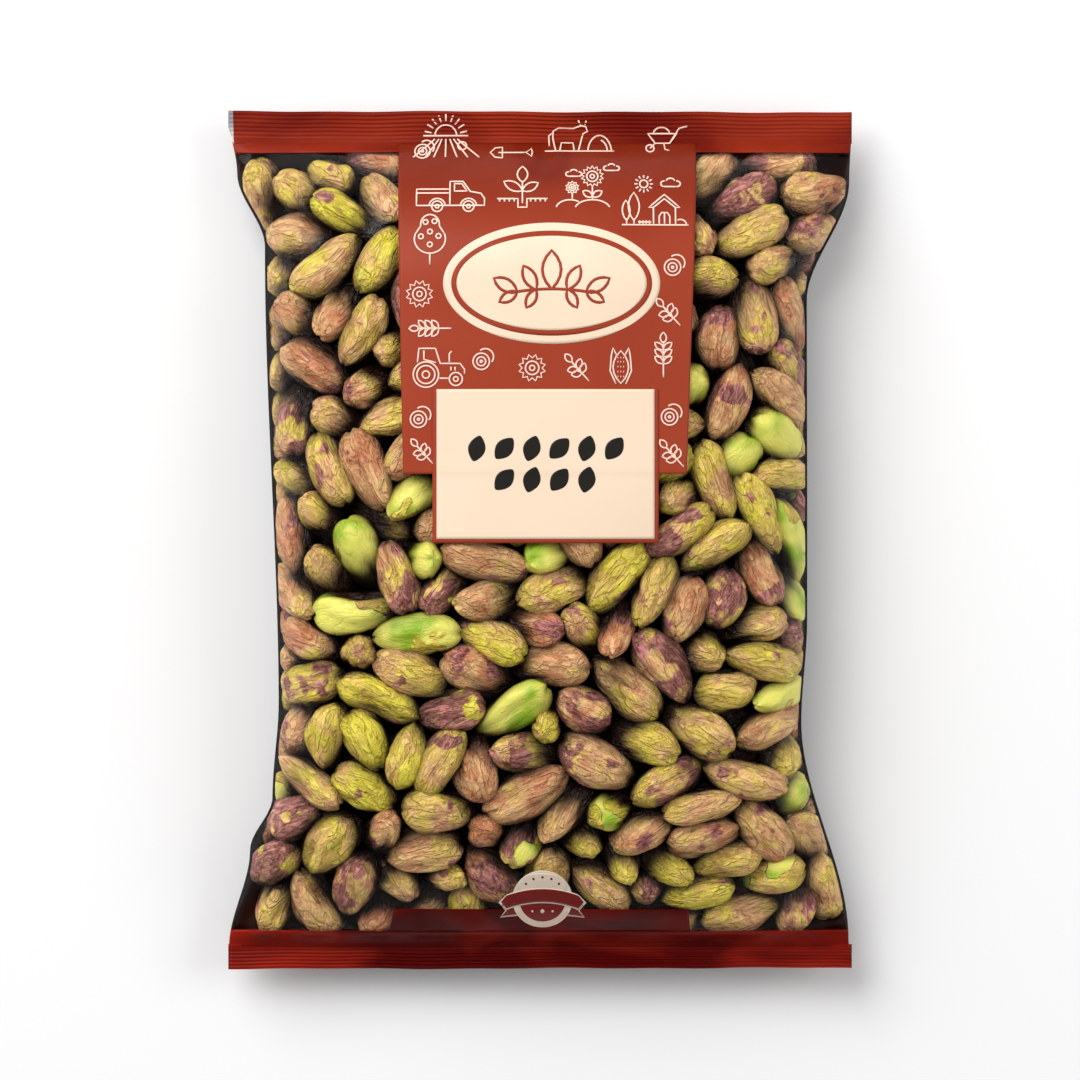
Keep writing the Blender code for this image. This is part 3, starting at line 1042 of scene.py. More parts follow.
class Pen:
    """Draws strokes, in millimetres, at a place, a size and a turn of its own."""

    def __init__(self):
        self.strokes = []
        self.at(0, 0)

    def at(self, x, y, size=1.0, turn=0.0):
        cosine, sine = heading(turn)
        self.origin, self.right = (x, y), (size * cosine, size * sine)

    def line(self, *points, closed=False):
        """Straight strokes from point to point, cut short enough to follow the film."""
        if closed:
            points = (*points, points[0])
        (cosine, sine), (x0, y0) = self.right, self.origin
        placed = [(x0 + x * cosine - y * sine, y0 + x * sine + y * cosine) for x, y in points]
        fine = [placed[0]]
        for start, end in zip(placed, placed[1:]):
            pieces = max(1, round(math.dist(start, end) / 1.2))
            for step in range(1, pieces + 1):
                fine.append(tuple(s + (e - s) * step / pieces for s, e in zip(start, end)))
        self.strokes.append((fine[:-1] if closed else fine, closed))

    def arc(self, x, y, radius, height=None, start=0.0, end=360.0):
        """Part of an oval, or all of it."""
        height = radius if height is None else height
        whole_turn = end - start >= 360
        steps = round((end - start) / 360 * 2 * math.pi * max(radius, height) / 0.5)
        steps = min(max(steps, 6), 48)
        turns = [heading(start + (end - start) * step / steps) for step in range(steps + 1)]
        points = [(x + radius * cosine, y + height * sine) for cosine, sine in turns]
        self.line(*(points[:-1] if whole_turn else points), closed=whole_turn)

    def leaf(self, x, y, long, wide, turn):
        """A pointed leaf from its stalk end, with the way it points."""
        cosine, sine = heading(turn)
        points = []
        for step in range(12):
            share = step / 6 - 1
            along = long * (1 - abs(share))
            aside = 0.0
            if step % 6:
                aside = wide / 2 * math.sin(math.pi * (1 - abs(share))) ** 0.8 * (1 if share < 0 else -1)
            points.append((x + along * cosine - aside * sine, y + along * sine + aside * cosine))
        self.line(*points, closed=True)

    def rays(self, x, y, inner, outer, count, start=0.0, end=360.0):
        """Short strokes round a centre."""
        spread = count if end - start >= 360 else count - 1
        for index in range(count):
            cosine, sine = heading(start + (end - start) * index / spread)
            self.line((x + inner * cosine, y + inner * sine), (x + outer * cosine, y + outer * sine))


def draw_sunrise(pen):
    pen.arc(0, 0.6, 2.7, start=0, end=180)
    pen.rays(0, 0.6, 3.6, 5.4, 9, 12, 168)
    pen.line((-5.6, 0.6), (5.6, 0.6))
    for reach in (-8.0, -5.0, -2.9, 0.0, 2.9, 5.6, 8.4):
        pen.line((reach * 0.34, -0.2), (reach, -5.2))
    draw_bale(pen, -5.7, -3.5, 1.9)
    pen.arc(4.1, -2.0, 1.1)


def draw_bale(pen, x, y, radius):
    for share in (0.15, 0.55, 1.0):
        pen.arc(x, y, radius * share)
    pen.arc(x + radius * 0.5, y + radius * 0.55, radius, start=-40, end=130)


def draw_spade(pen):
    pen.line((-2.2, 1.5), (-4.0, 1.3), (-5.2, 0.0), (-4.0, -1.3), (-2.2, -1.5), closed=True)
    pen.line((-3.2, 0.0), (3.6, 0.0))
    pen.line((3.6, 0.0), (5.0, 1.1), (5.2, 0.0), (5.0, -1.1), closed=True)


def draw_cow(pen):
    pen.line((-8.6, -4.0), (8.6, -4.0))
    pen.line(
        (-5.9, -4.0), (-6.6, -0.6), (-6.5, 1.2), (-5.2, 1.9), (-1.6, 1.8), (0.4, 2.6), (1.6, 2.3), (2.0, 1.1),
        (0.9, 0.6), (0.4, -1.2), (-0.3, -4.0),
    )
    pen.line((-4.9, -4.0), (-4.5, -1.7), (-1.6, -1.7), (-1.3, -4.0))
    pen.line((-6.6, 0.8), (-7.6, 0.0), (-7.5, -2.6))
    pen.line((0.2, 2.7), (-0.3, 3.9))
    pen.line((1.3, 2.6), (1.7, 3.8))
    pen.arc(5.0, -4.0, 2.9, 4.1, 0, 180)
    pen.arc(5.0, -4.0, 1.9, 3.0, 0, 80)


def draw_barrow(pen):
    pen.arc(-4.1, -2.5, 1.0)
    pen.line((-4.6, 1.3), (2.6, 1.3), (0.8, -1.1), (-2.8, -1.1), closed=True)
    pen.arc(-1.2, 1.3, 2.0, 1.5, 0, 180)
    pen.line((-4.1, -2.5), (-2.8, -1.1))
    pen.line((0.8, -1.1), (3.2, 2.6), (5.2, 3.1))
    pen.line((-0.6, -1.1), (-0.4, -2.8), (0.7, -3.1))


def draw_truck(pen):
    pen.line(
        (-8.4, 1.6), (-0.2, 1.6), (-0.2, 3.6), (3.0, 3.6), (4.8, 1.0), (7.4, 0.5), (8.3, -0.8), (8.3, -2.6),
        (-8.4, -2.6), closed=True,
    )
    pen.line((-8.4, 0.6), (-0.2, 0.6))
    pen.line((-0.2, 1.6), (-0.2, -2.6))
    pen.line((0.9, 3.0), (2.7, 3.0), (4.0, 1.1), (0.9, 1.1), closed=True)
    for across in (-3.3, 4.4):
        pen.arc(across, -2.8, 2.0, start=8, end=172)
        pen.arc(across, -2.8, 1.35)
        pen.arc(across, -2.8, 0.5)


def draw_seedling(pen):
    pen.line((0.0, -3.8), (0.0, 2.0))
    pen.leaf(0.0, 1.6, 4.2, 2.6, 90)
    pen.leaf(0.0, -0.6, 5.2, 2.3, 152)
    pen.leaf(0.0, -0.6, 4.4, 2.1, 28)
    pen.line((-6.2, -2.6), (-1.1, -2.6), (-1.1, -4.8), (1.1, -4.8), (1.1, -2.6), (6.2, -2.6))
    for across in (-5.6, -4.4, -3.2, -2.0, 2.0, 3.2, 4.4, 5.6):
        pen.line((across, -2.6), (across, -3.4))


def draw_cloud(pen, x, y, size):
    pen.arc(x, y, 1.1 * size, 1.0 * size, 20, 160)
    pen.arc(x - 1.5 * size, y - 0.4 * size, 0.8 * size, 0.7 * size, 80, 270)
    pen.arc(x + 1.5 * size, y - 0.4 * size, 0.8 * size, 0.7 * size, -90, 100)
    pen.line((x - 1.5 * size, y - 1.1 * size), (x + 1.5 * size, y - 1.1 * size))


def draw_daisy(pen, x, y, radius, petals=12):
    edge = []
    for index in range(petals * 2):
        cosine, sine = heading(180 * index / petals)
        reach = radius * (1.0 if index % 2 else 0.74)
        edge.append((x + reach * cosine, y + reach * sine))
    pen.line(*edge, closed=True)
    pen.arc(x, y, radius * 0.5)
    pen.arc(x, y, radius * 0.2)


def draw_flowers(pen):
    draw_daisy(pen, 0.6, 2.8, 2.9, 14)
    pen.line((0.6, -0.1), (0.6, -3.6))
    pen.leaf(0.6, -2.8, 2.9, 1.6, 148)
    pen.leaf(0.6, -2.8, 2.9, 1.6, 32)
    draw_daisy(pen, -4.6, -0.3, 1.7, 10)
    pen.line((-4.6, -2.0), (-4.6, -3.6))
    pen.arc(0.6, -6.3, 4.6, 2.7, 15, 165)
    pen.arc(-5.2, -6.0, 3.6, 2.4, 50, 170)
    draw_cloud(pen, -4.2, 3.8, 0.9)
    draw_cloud(pen, 5.6, 5.4, 0.9)


def draw_farmhouse(pen):
    pen.line((-8.2, -6.0), (8.2, -6.0))
    pen.line((-0.4, -1.5), (-0.4, -6.0))
    pen.line((5.0, -1.5), (5.0, -6.0))
    pen.line((-1.5, -1.6), (2.3, 1.7), (6.1, -1.6), (5.0, -1.6), (2.3, 0.6), (-0.4, -1.6), closed=True)
    pen.line((1.0, -6.0), (1.0, -3.8), (1.6, -2.9), (3.0, -2.9), (3.6, -3.8), (3.6, -6.0))
    pen.line((2.3, -3.0), (2.3, -6.0))
    pen.leaf(-5.2, -5.0, 7.2, 2.7, 90)
    pen.leaf(-7.0, -5.0, 5.2, 1.9, 92)
    pen.line((-5.2, -6.0), (-5.2, -4.4))
    pen.line((-7.0, -6.0), (-7.0, -4.4))
    for across in (-3.8, -3.0, -2.2, -1.4):
        pen.line((across, -6.0), (across, -4.9))
    pen.line((-4.2, -5.3), (-0.9, -5.3))
    pen.arc(-2.7, 4.4, 1.0)
    pen.rays(-2.7, 4.4, 1.5, 2.3, 12)
    draw_cloud(pen, 3.9, 4.9, 1.05)
    pen.arc(6.2, -6.0, 1.5, 1.4, 0, 120)


def draw_fruit_tree(pen):
    pen.line((0.0, -6.4), (0.0, -3.4))
    pen.arc(0.0, 0.0, 3.8, 3.6, -200, 20)
    pen.arc(0.0, 3.6, 2.3, 2.5, -12, 192)
    pen.line((-3.6, 1.2), (-2.3, 3.2))
    pen.line((3.6, 1.2), (2.3, 3.2))
    for across, up in ((-1.1, 4.2), (1.1, 4.4), (0.0, 1.8), (-2.2, 0.6), (2.1, 0.7), (0.0, -1.4)):
        pen.arc(across, up, 0.62)


def draw_ear(pen):
    pen.line((0.0, -6.6), (0.0, 3.2))
    pen.leaf(0.0, 2.6, 3.0, 1.7, 90)
    for up in (-2.9, -1.0, 0.9):
        pen.leaf(0.0, up, 3.0, 1.5, 40)
        pen.leaf(0.0, up, 3.0, 1.5, 140)


def draw_sprig(pen):
    pen.line((2.6, -3.0), (-1.2, 1.2))
    pen.leaf(-1.2, 1.2, 2.3, 1.4, 130)
    for share in (0.15, 0.55):
        x, y = 1.3 - 2.2 * share, -1.6 + 2.4 * share
        pen.leaf(x, y, 2.3, 1.4, 74)
        pen.leaf(x, y, 2.3, 1.4, 190)


def draw_corn(pen):
    pen.leaf(0.0, -4.3, 8.0, 3.8, 90)
    pen.line((-1.2, -4.4), (-2.6, -1.2), (-2.3, 2.6), (-1.9, 4.4), (-0.9, 2.4))
    pen.line((1.2, -4.4), (2.6, -1.2), (2.3, 2.6), (1.9, 4.4), (0.9, 2.4))
    for up in (-2.6, -1.4, -0.2, 1.0, 2.0):
        for across in (-0.7, 0.0, 0.7):
            pen.line((across - 0.1, up), (across + 0.1, up))


def draw_tractor(pen):
    for radius in (3.1, 2.2, 0.9):
        pen.arc(-3.1, -1.7, radius)
    pen.arc(4.2, -2.8, 1.6)
    pen.arc(4.2, -2.8, 0.6)
    pen.line((-5.2, 1.2), (-4.8, 4.7), (-0.8, 4.7), (0.4, 1.0), (5.2, 1.0), (6.3, -0.4), (6.3, -1.6))
    pen.line((-3.6, 4.2), (-3.6, 2.0), (-0.6, 1.2))
    pen.line((0.2, -2.6), (2.4, -2.6))
    pen.line((2.6, 1.0), (2.6, 3.4), (3.2, 4.0))
    pen.line((3.0, 0.2), (3.0, -0.8))
    pen.line((4.0, 0.2), (4.0, -0.8))


def draw_all(pen):
    """Every drawing on the panel, row by row."""
    for draw, x, y, size in (
        (draw_sunrise, -23.4, 99.9, 1.0),
        (draw_spade, -7.1, 96.0, 1.0),
        (draw_cow, 9.8, 100.4, 1.0),
        (draw_barrow, 31.4, 99.7, 1.0),
        (draw_truck, -21.9, 84.6, 1.0),
        (draw_seedling, -4.3, 86.3, 1.0),
        (draw_flowers, 12.3, 86.8, 0.95),
        (draw_farmhouse, 28.2, 83.1, 1.0),
        (draw_fruit_tree, -26.9, 73.6, 1.0),
        (draw_tractor, -24.7, 42.0, 1.0),
        (draw_ear, 30.1, 45.6, 0.9),
        (draw_corn, 19.7, 42.4, 1.0),
        (draw_sprig, 31.4, 55.6, 1.1),
        (draw_sprig, 9.1, 42.0, 1.1),
        (draw_sprig, -28.7, 21.6, 1.0),
        (draw_sprig, 32.2, 21.1, 1.1),
    ):
        pen.at(x, y, size)
        draw(pen)
    pen.at(-27.2, 51.6, 0.85, 90)
    draw_ear(pen)
    pen.at(0, 0)
    for x, y in ((-29.4, 60.0), (-1.9, 41.9)):
        draw_daisy(pen, x, y, 3.3)
    for x, y in ((32.4, 66.6), (-14.3, 43.5), (-29.6, 29.4), (31.6, 30.0)):
        draw_bale(pen, x, y, 2.0)


def draw_oval_sprig(pen):
    """A leafy twig for the middle of the oval."""
    pen.at(*OVAL_CENTRE)
    pen.arc(0, -9.5, 21, 8, 62, 118)
    for across, turn in ((-8.4, 150), (-3.8, 118), (3.8, 62), (8.4, 30)):
        up = -9.5 + 8 * math.sqrt(1 - (across / 21) ** 2)
        pen.leaf(across, up, 6.6, 3.0, turn)
        pen.leaf(across, up, 5.0, 2.3, -turn)
    pen.leaf(0.0, -1.5, 9.5, 4.6, 90)


def draw_badge(pen):
    """The rings round the lower half of the badge."""
    pen.at(*BADGE_CENTRE)
    for radius in (7.2, 6.5, 5.9):
        pen.arc(0, 0, radius, start=-156, end=-24)


def stroked(name, pen, width, below, lift, material):
    """Makes a low rounded line of every stroke, and lays it on the pieces below."""
    curve = bpy.data.curves.new(name, "CURVE")
    curve.dimensions = "3D"
    curve.bevel_depth = width / 2
    curve.bevel_resolution = 1
    curve.use_fill_caps = True
    for points, closed in pen.strokes:
        spline = curve.splines.new("POLY")
        spline.points.add(len(points) - 1)
        for control, (x, y) in zip(spline.points, points):
            control.co = (x * MM, y * MM, 0, 1)
        spline.use_cyclic_u = closed
    drawn = add_object(name + "_line", curve)
    graph = bpy.context.evaluated_depsgraph_get()
    mesh = bpy.data.meshes.new_from_object(drawn.evaluated_get(graph))
    bpy.data.objects.remove(drawn)
    bpy.data.curves.remove(curve)
    bm = bmesh.new()
    bm.from_mesh(mesh)
    bpy.data.meshes.remove(mesh)
    bmesh.ops.scale(bm, vec=(1, 1, 0.3), verts=bm.verts)
    bmesh.ops.remove_doubles(bm, verts=bm.verts, dist=0.005 * MM)
    bmesh.ops.recalc_face_normals(bm, faces=bm.faces)
    lay_on(bm, below, lift)
    return piece_from(bm, name, material)


def print_ink(name, colour, deep, rough=0.36, coat=0.04, folded=None):
    """Flat ink under the film's gloss, with faint clouds. Folded is the colour of the painted shade where the
    film gathers at its top and along the crease there.
    """
    finish = Finish(name)
    place = finish.placed()
    cloud = finish.noise(place, 30.0, 3.0, 0.5, 0.4)
    grain = finish.noise(place, 1500.0, 2.0, 0.6)
    colour = finish.mix(cloud.step(0.25, 0.75) * 0.35 + grain * 0.12, colour, deep)
    if folded:
        x, y, _ = finish.parts(finish.own_place())
        # Painted shade: darker towards the top, where the film gathers below the seal, and along the crease
        # that runs down from it
        gathered = (y + cloud * 6 * MM).step(68 * MM, 100 * MM)
        crease = 1 - (x - 1.5 * MM + (y - 90 * MM) * 0.12).math("ABSOLUTE").step(0.0, 9 * MM)
        crease = crease * y.step(84 * MM, 95 * MM)
        colour = finish.mix((gathered * 0.85 + crease * 0.6).math("MINIMUM", 1.0), colour, folded)
    normal = finish.bump(cloud + grain * 0.03, 0.2, 0.5 * MM)
    return finish.ink(colour, rough + grain * 0.08, coat, 0.08, normal)


# ---------------------------------------------------------------- stage


def build_stage(settings):
    """Floor, lights and the camera straight above the bag."""
    bm = bmesh.new()
    bmesh.ops.create_grid(bm, x_segments=1, y_segments=1, size=settings.floor_size / 2)
    mesh = bpy.data.meshes.new("floor")
    bm.to_mesh(mesh)
    bm.free()
    floor = add_object("floor", mesh)
    paper = Finish("floor_paper")
    shader = paper.principled(base_color=settings.floor_colour, roughness=0.9)
    mesh.materials.append(paper.surface(shader))
    for name, place, size, power in (
        ("key_light", (-0.72, 0.85, 1.0), 1.25, settings.key_power),
        ("side_light", (1.1, 0.2, 0.9), 0.8, settings.side_power),
    ):
        lamp = bpy.data.lights.new(name, "AREA")
        lamp.size = size
        lamp.energy = power
        light = add_object(name, lamp)
        light.location = place
        light.rotation_euler = (-Vector(place)).to_track_quat("-Z", "Y").to_euler()
    world = bpy.data.worlds.new("studio")
    world.use_nodes = True
    background = world.node_tree.nodes["Background"]
    background.inputs["Color"].default_value = (1, 1, 1, 1)
    background.inputs["Strength"].default_value = settings.world_strength
    bpy.context.scene.world = world
    bpy.context.scene.view_settings.view_transform = "Standard"
    camera_data = bpy.data.cameras.new("camera")
    camera = add_object("camera", camera_data)
    height = settings.camera_height
    camera.location = (0, 0, height)
    camera_data.lens = camera_data.sensor_width * (height - SIDE_HEIGHT) / settings.view_width
    camera_data.clip_start = 0.1
    camera_data.clip_end = 10
    bpy.context.scene.camera = camera


# ---------------------------------------------------------------- settings


def length(name, description, default):
    return bpy.props.FloatProperty(
        name=name, description=description, default=default, unit="LENGTH", precision=5
    )


def colour(name, description, default):
    return bpy.props.FloatVectorProperty(
        name=name, description=description, default=default, size=3, subtype="COLOR", min=0, max=1
    )


def number(name, description, default):
    return bpy.props.FloatProperty(name=name, description=description, default=default)


def whole(name, description, default):
    return bpy.props.IntProperty(name=name, description=description, default=default, min=1)


class KernelSettings(bpy.types.PropertyGroup):
    """The kernels' number, size and colours"""

    count: whole("Count", "How many kernels the bag holds", 490)
    turns: whole("Settling", "How many times the kernels are pushed apart", 170)
    seed: whole("Seed", "Which random filling is made", 11)
    length: length("Length", "Usual length of a kernel", 19.4 * MM)
    width: length("Width", "Usual width of a kernel", 11.6 * MM)
    pressure: length("Pressure", "How far a kernel is moved against the film at each push", 0.08 * MM)
    spread: length("Spread", "How far a kernel is moved towards the bag's edges at each push", 0.25 * MM)
    brown_skin: colour("Brown skin", "Darkest skin", (0.75, 0.27, 0.13))
    tan_skin: colour("Tan skin", "Usual skin", (1.00, 0.57, 0.27))
    olive_skin: colour("Olive skin", "Skin that the green shows through", (1.00, 0.71, 0.15))
    green_skin: colour("Green skin", "Thinnest skin", (1.00, 0.86, 0.07))
    purple_blush: colour("Purple blush", "Darker part of a blush", (0.20, 0.025, 0.06))
    pink_blush: colour("Pink blush", "Lighter part of a blush", (0.70, 0.24, 0.26))
    wrinkle_shade: colour("Wrinkle shade", "What the wrinkles' valleys are darkened by", (0.42, 0.16, 0.07))
    skin_highlight: colour("Skin highlight", "What the ridges are lightened by", (0.56, 0.33, 0.14))
    deep_shade: colour("Deep shade", "What is left of the light deep inside the bag", (0.02, 0.006, 0.003))
    bare_yellow: colour("Bare yellow", "Flesh with no skin", (0.92, 0.86, 0.17))
    bare_green: colour("Bare green", "Greener flesh with no skin", (0.31, 0.50, 0.016))


class FilmSettings(bpy.types.PropertyGroup):
    """The film, its seals and its print"""

    film_columns: whole("Columns", "Faces round the bag", 290)
    film_rows: whole("Rows", "Faces along the bag", 160)
    film_thickness: length("Thickness", "Thickness of the film", 0.1 * MM)
    film_roughness: number("Roughness", "How blurred the film's highlights are", 0.1)
    film_gloss: number("Gloss", "Strength of the film's highlights", 0.6)
    film_still: number("Clearness", "Share of the highlights left out where the film faces the eye", 0.045)
    film_most: number("Most gloss", "Largest share of the highlights, on the bag's steep sides", 0.022)
    film_tint: colour("Tint", "Colour of what is seen through the film", (0.97, 0.97, 0.96))
    rib_height: length("Rib height", "Height of the crimped ribs", 0.2 * MM)
    seal_ply: length("Seal ply", "Half a seal's thickness", 0.3 * MM)
    top_band: length("Top band", "How far the brown print reaches below the top seal", 2.4 * MM)
    foot_band: length("Foot band", "How far the brown print reaches above the bottom seal", 3.6 * MM)
    top_ribs: whole("Top ribs", "Ribs across the top seal", 8)
    bottom_ribs: whole("Bottom ribs", "Ribs across the bottom seal", 7)
    fin_ribs: whole("Fin ribs", "Ribs along the fin seal", 5)
    band_brown: colour("Band brown", "Brown of the printed bands", linear(150, 46, 25))
    band_deep: colour("Deep brown", "Darker brown of the printed bands", linear(108, 20, 11))
    back_brown: colour("Back brown", "Print on the bag's back", linear(58, 20, 10))
    back_deep: colour("Deep back brown", "Darker print on the bag's back", linear(34, 8, 4))
    foot_brown: colour("Foot brown", "Brown of the bottom band", linear(158, 34, 16))
    foot_deep: colour("Deep foot brown", "Darker brown of the bottom band", linear(84, 3, 2))


class PrintSettings(bpy.types.PropertyGroup):
    """The printed panel, the label, the badge and the line drawings"""

    panel_brown: colour("Panel brown", "Ink of the panel", linear(163, 66, 43))
    panel_deep: colour("Deep panel brown", "Darker clouds in the panel's ink", linear(150, 54, 33))
    # Colour of the painted shade where the film gathers below the top seal
    panel_fold_shade: colour("Gathered panel brown", "The panel's ink below the top seal", linear(116, 30, 8))
    foot_patch: colour("Foot patch", "Brown above the bottom seal", linear(146, 26, 12))
    foot_patch_deep: colour("Deep foot patch", "Darker brown above the bottom seal", linear(72, 0, 0))
    cream: colour("Cream", "Label and oval", linear(242, 218, 192))
    cream_deep: colour("Deep cream", "Darker clouds of the cream", linear(239, 213, 185))
    mark_ink: colour("Mark ink", "The kernel shapes on the label", linear(34, 31, 28))
    line_ink: colour("Line ink", "The line drawings", linear(250, 214, 196))
    line_width: length("Line width", "Width of the drawn lines", 0.42 * MM)
    badge_silver: colour("Badge silver", "The badge's face", linear(236, 222, 200))
    badge_deep: colour("Deep silver", "Darker clouds of the badge's face", linear(190, 160, 145))
    ribbon_maroon: colour("Ribbon", "The badge's ribbon", linear(126, 22, 18))
    ribbon_deep: colour("Deep ribbon", "Darker clouds of the ribbon", linear(92, 8, 8))


class StageSettings(bpy.types.PropertyGroup):
    """Floor, lights and camera"""

    floor_size: length("Floor", "Side of the floor", 4.0)
    floor_colour: colour("Floor colour", "Colour of the floor", (0.93, 0.93, 0.93))
    key_power: number("Key", "Power of the light beyond the bag's top, in watts", 23.5)
    side_power: number("Side", "Power of the light at the right, in watts", 5.5)
    world_strength: number("Surroundings", "Brightness of the studio's walls", 0.38)
    camera_height: length("Camera height", "Height of the camera over the floor", 1.4)
    view_width: length("View", "Width that the camera sees at the side folds", 267.8 * MM)


# ---------------------------------------------------------------- operators


class BAG_OT_fill_kernels(bpy.types.Operator):
    """Settle the kernels in the bag, and shape each one"""

    bl_idname = "bag.fill_kernels"
    bl_label = "Fill with kernels"

    def execute(self, context):
        settings = context.scene.kernel_settings
        chance = np.random.default_rng(settings.seed)
        centres, axes, sizes = settle_kernels(settings, chance)
        frames = kernel_frames(centres, axes, chance)
        tones = kernel_tones(len(centres), chance)
        kernels = (centres, frames, sizes, tones)
        skin = kernel_skin(settings)
        x, y, z = centres.T
        under_front = front_height(x, y) - z
        over_back = z - back_height(x, y)
        front = under_front < FRONT_DEPTH
        back = ~front & (over_back < BACK_DEPTH)
        second = ~front & ~back & (under_front < SECOND_DEPTH)
        middle = ~front & ~back & ~second
        for name, node, rows, fineness in (
            (KERNEL_LAYERS[0], "kernels_front", front & (y > 0), (32, 22)),
            (KERNEL_LAYERS[1], "kernels_front", front & (y <= 0), (32, 22)),
            (KERNEL_LAYERS[2], "kernels_middle", second, (24, 14)),
            (KERNEL_LAYERS[3], "kernels_middle", middle, (12, 8)),
            (KERNEL_LAYERS[4], "kernels_back", back, (20, 12)),
        ):
            made = kernel_layer(name, node, np.nonzero(rows)[0], kernels, fineness, skin, chance)
            print(name, int(rows.sum()), "kernels,", len(made.data.polygons), "faces")
        return {"FINISHED"}


class BAG_OT_draw_film(bpy.types.Operator):
    """Draw the clear film tight over the kernels"""

    bl_idname = "bag.draw_film"
    bl_label = "Draw the film"

    def execute(self, context):
        build_film(context.scene.film_settings)
        return {"FINISHED"}


class BAG_OT_crimp_ends(bpy.types.Operator):
    """Weld and rib the seals at both ends"""

    bl_idname = "bag.crimp_ends"
    bl_label = "Crimp the ends"

    def execute(self, context):
        s = context.scene.film_settings
        top = band_ink("band_ink", s.band_brown, s.band_deep, CAD_LOW.x + 1.4 * MM)
        foot = band_ink("foot_ink", s.foot_brown, s.foot_deep, middle=0.6)
        crimped_seal("top_seal", "top_crimp_seal", TOP_INNER, HALF_LENGTH, s.top_ribs, top, s)
        crimped_seal("bottom_seal", "bottom_crimp_seal", BOTTOM_INNER, -HALF_LENGTH, s.bottom_ribs, foot, s)
        return {"FINISHED"}


class BAG_OT_fold_fin(bpy.types.Operator):
    """Weld the film's edges under the bag's back"""

    bl_idname = "bag.fold_fin"
    bl_label = "Fold the fin seal"

    def execute(self, context):
        s = context.scene.film_settings
        fin_seal(band_ink("fin_ink", s.back_brown, s.back_deep), s)
        return {"FINISHED"}


class BAG_OT_print_panel(bpy.types.Operator):
    """Print the brown panel, its oval and the foot of the bag"""

    bl_idname = "bag.print_panel"
    bl_label = "Print the panel"

    def execute(self, context):
        s = context.scene.print_settings
        brown = print_ink("panel_ink", s.panel_brown, s.panel_deep, folded=s.panel_fold_shade)
        printed("panel", ((panel_shape, 96, 108),), ("film", "top_band"), PANEL_LIFT, brown)
        foot = band_ink("foot_patch_ink", s.foot_patch, s.foot_patch_deep, middle=0.6)
        below = ("film", "foot_band")
        printed("foot_patch", ((foot_shape, 96, 14),), below, PANEL_LIFT, foot)
        cream = print_ink("oval_ink", s.cream, s.cream_deep, 0.4, 0.2)
        for name, below, inset, ink in (
            ("oval", "panel", 0.0, cream),
            ("oval_ring", "oval", 2.0, brown),
            ("oval_heart", "oval_ring", 3.3, cream),
        ):
            shape = rounded(OVAL_CENTRE, (OVAL_HALF[0] - inset, OVAL_HALF[1] - inset))
            printed(name, ((shape, 56, 34),), (below,), INK_LIFT, ink, THIN_INK)
        return {"FINISHED"}


class BAG_OT_stick_label(bpy.types.Operator):
    """Stick on the label, with plain kernel shapes in place of words"""

    bl_idname = "bag.stick_label"
    bl_label = "Stick on the label"

    def execute(self, context):
        s = context.scene.print_settings
        border = print_ink("border_ink", s.panel_brown, s.panel_deep)
        cream = print_ink("label_paper", s.cream, s.cream_deep, 0.5, 0.1)
        dark = print_ink("mark_ink", s.mark_ink, s.mark_ink, 0.45, 0.1)
        edge = rectangle(LABEL_CENTRE, LABEL_HALF)
        half = (LABEL_HALF[0] - LABEL_BORDER, LABEL_HALF[1] - LABEL_BORDER / 2)
        face = rectangle((LABEL_CENTRE[0], LABEL_CENTRE[1] + LABEL_BORDER / 2), half)
        below, slot, replaced = ("film", "panel"), "label_paper", ("product_label",)
        printed("label_border", ((edge, 72, 50),), below, STICKER_LIFT, border, 0.1 * MM, replaced)
        printed("label", ((face, 72, 50),), ("label_border",), 0.1 * MM, cream, 0.08 * MM)
        marks = []
        for up, count, turns in ((22.3, 6, (14, -12, 9, -16, 12, -9)), (14.7, 4, (-14, 10, -8, 15))):
            for index in range(count):
                across = LABEL_CENTRE[0] + (index - (count - 1) / 2) * 6.7
                marks.append((rounded((across, up), (3.2, 2.1), turns[index] + 62, 0.42), 12, 10))
        printed("label_marks", marks, ("label",), INK_LIFT, dark, THIN_INK)
        return {"FINISHED"}


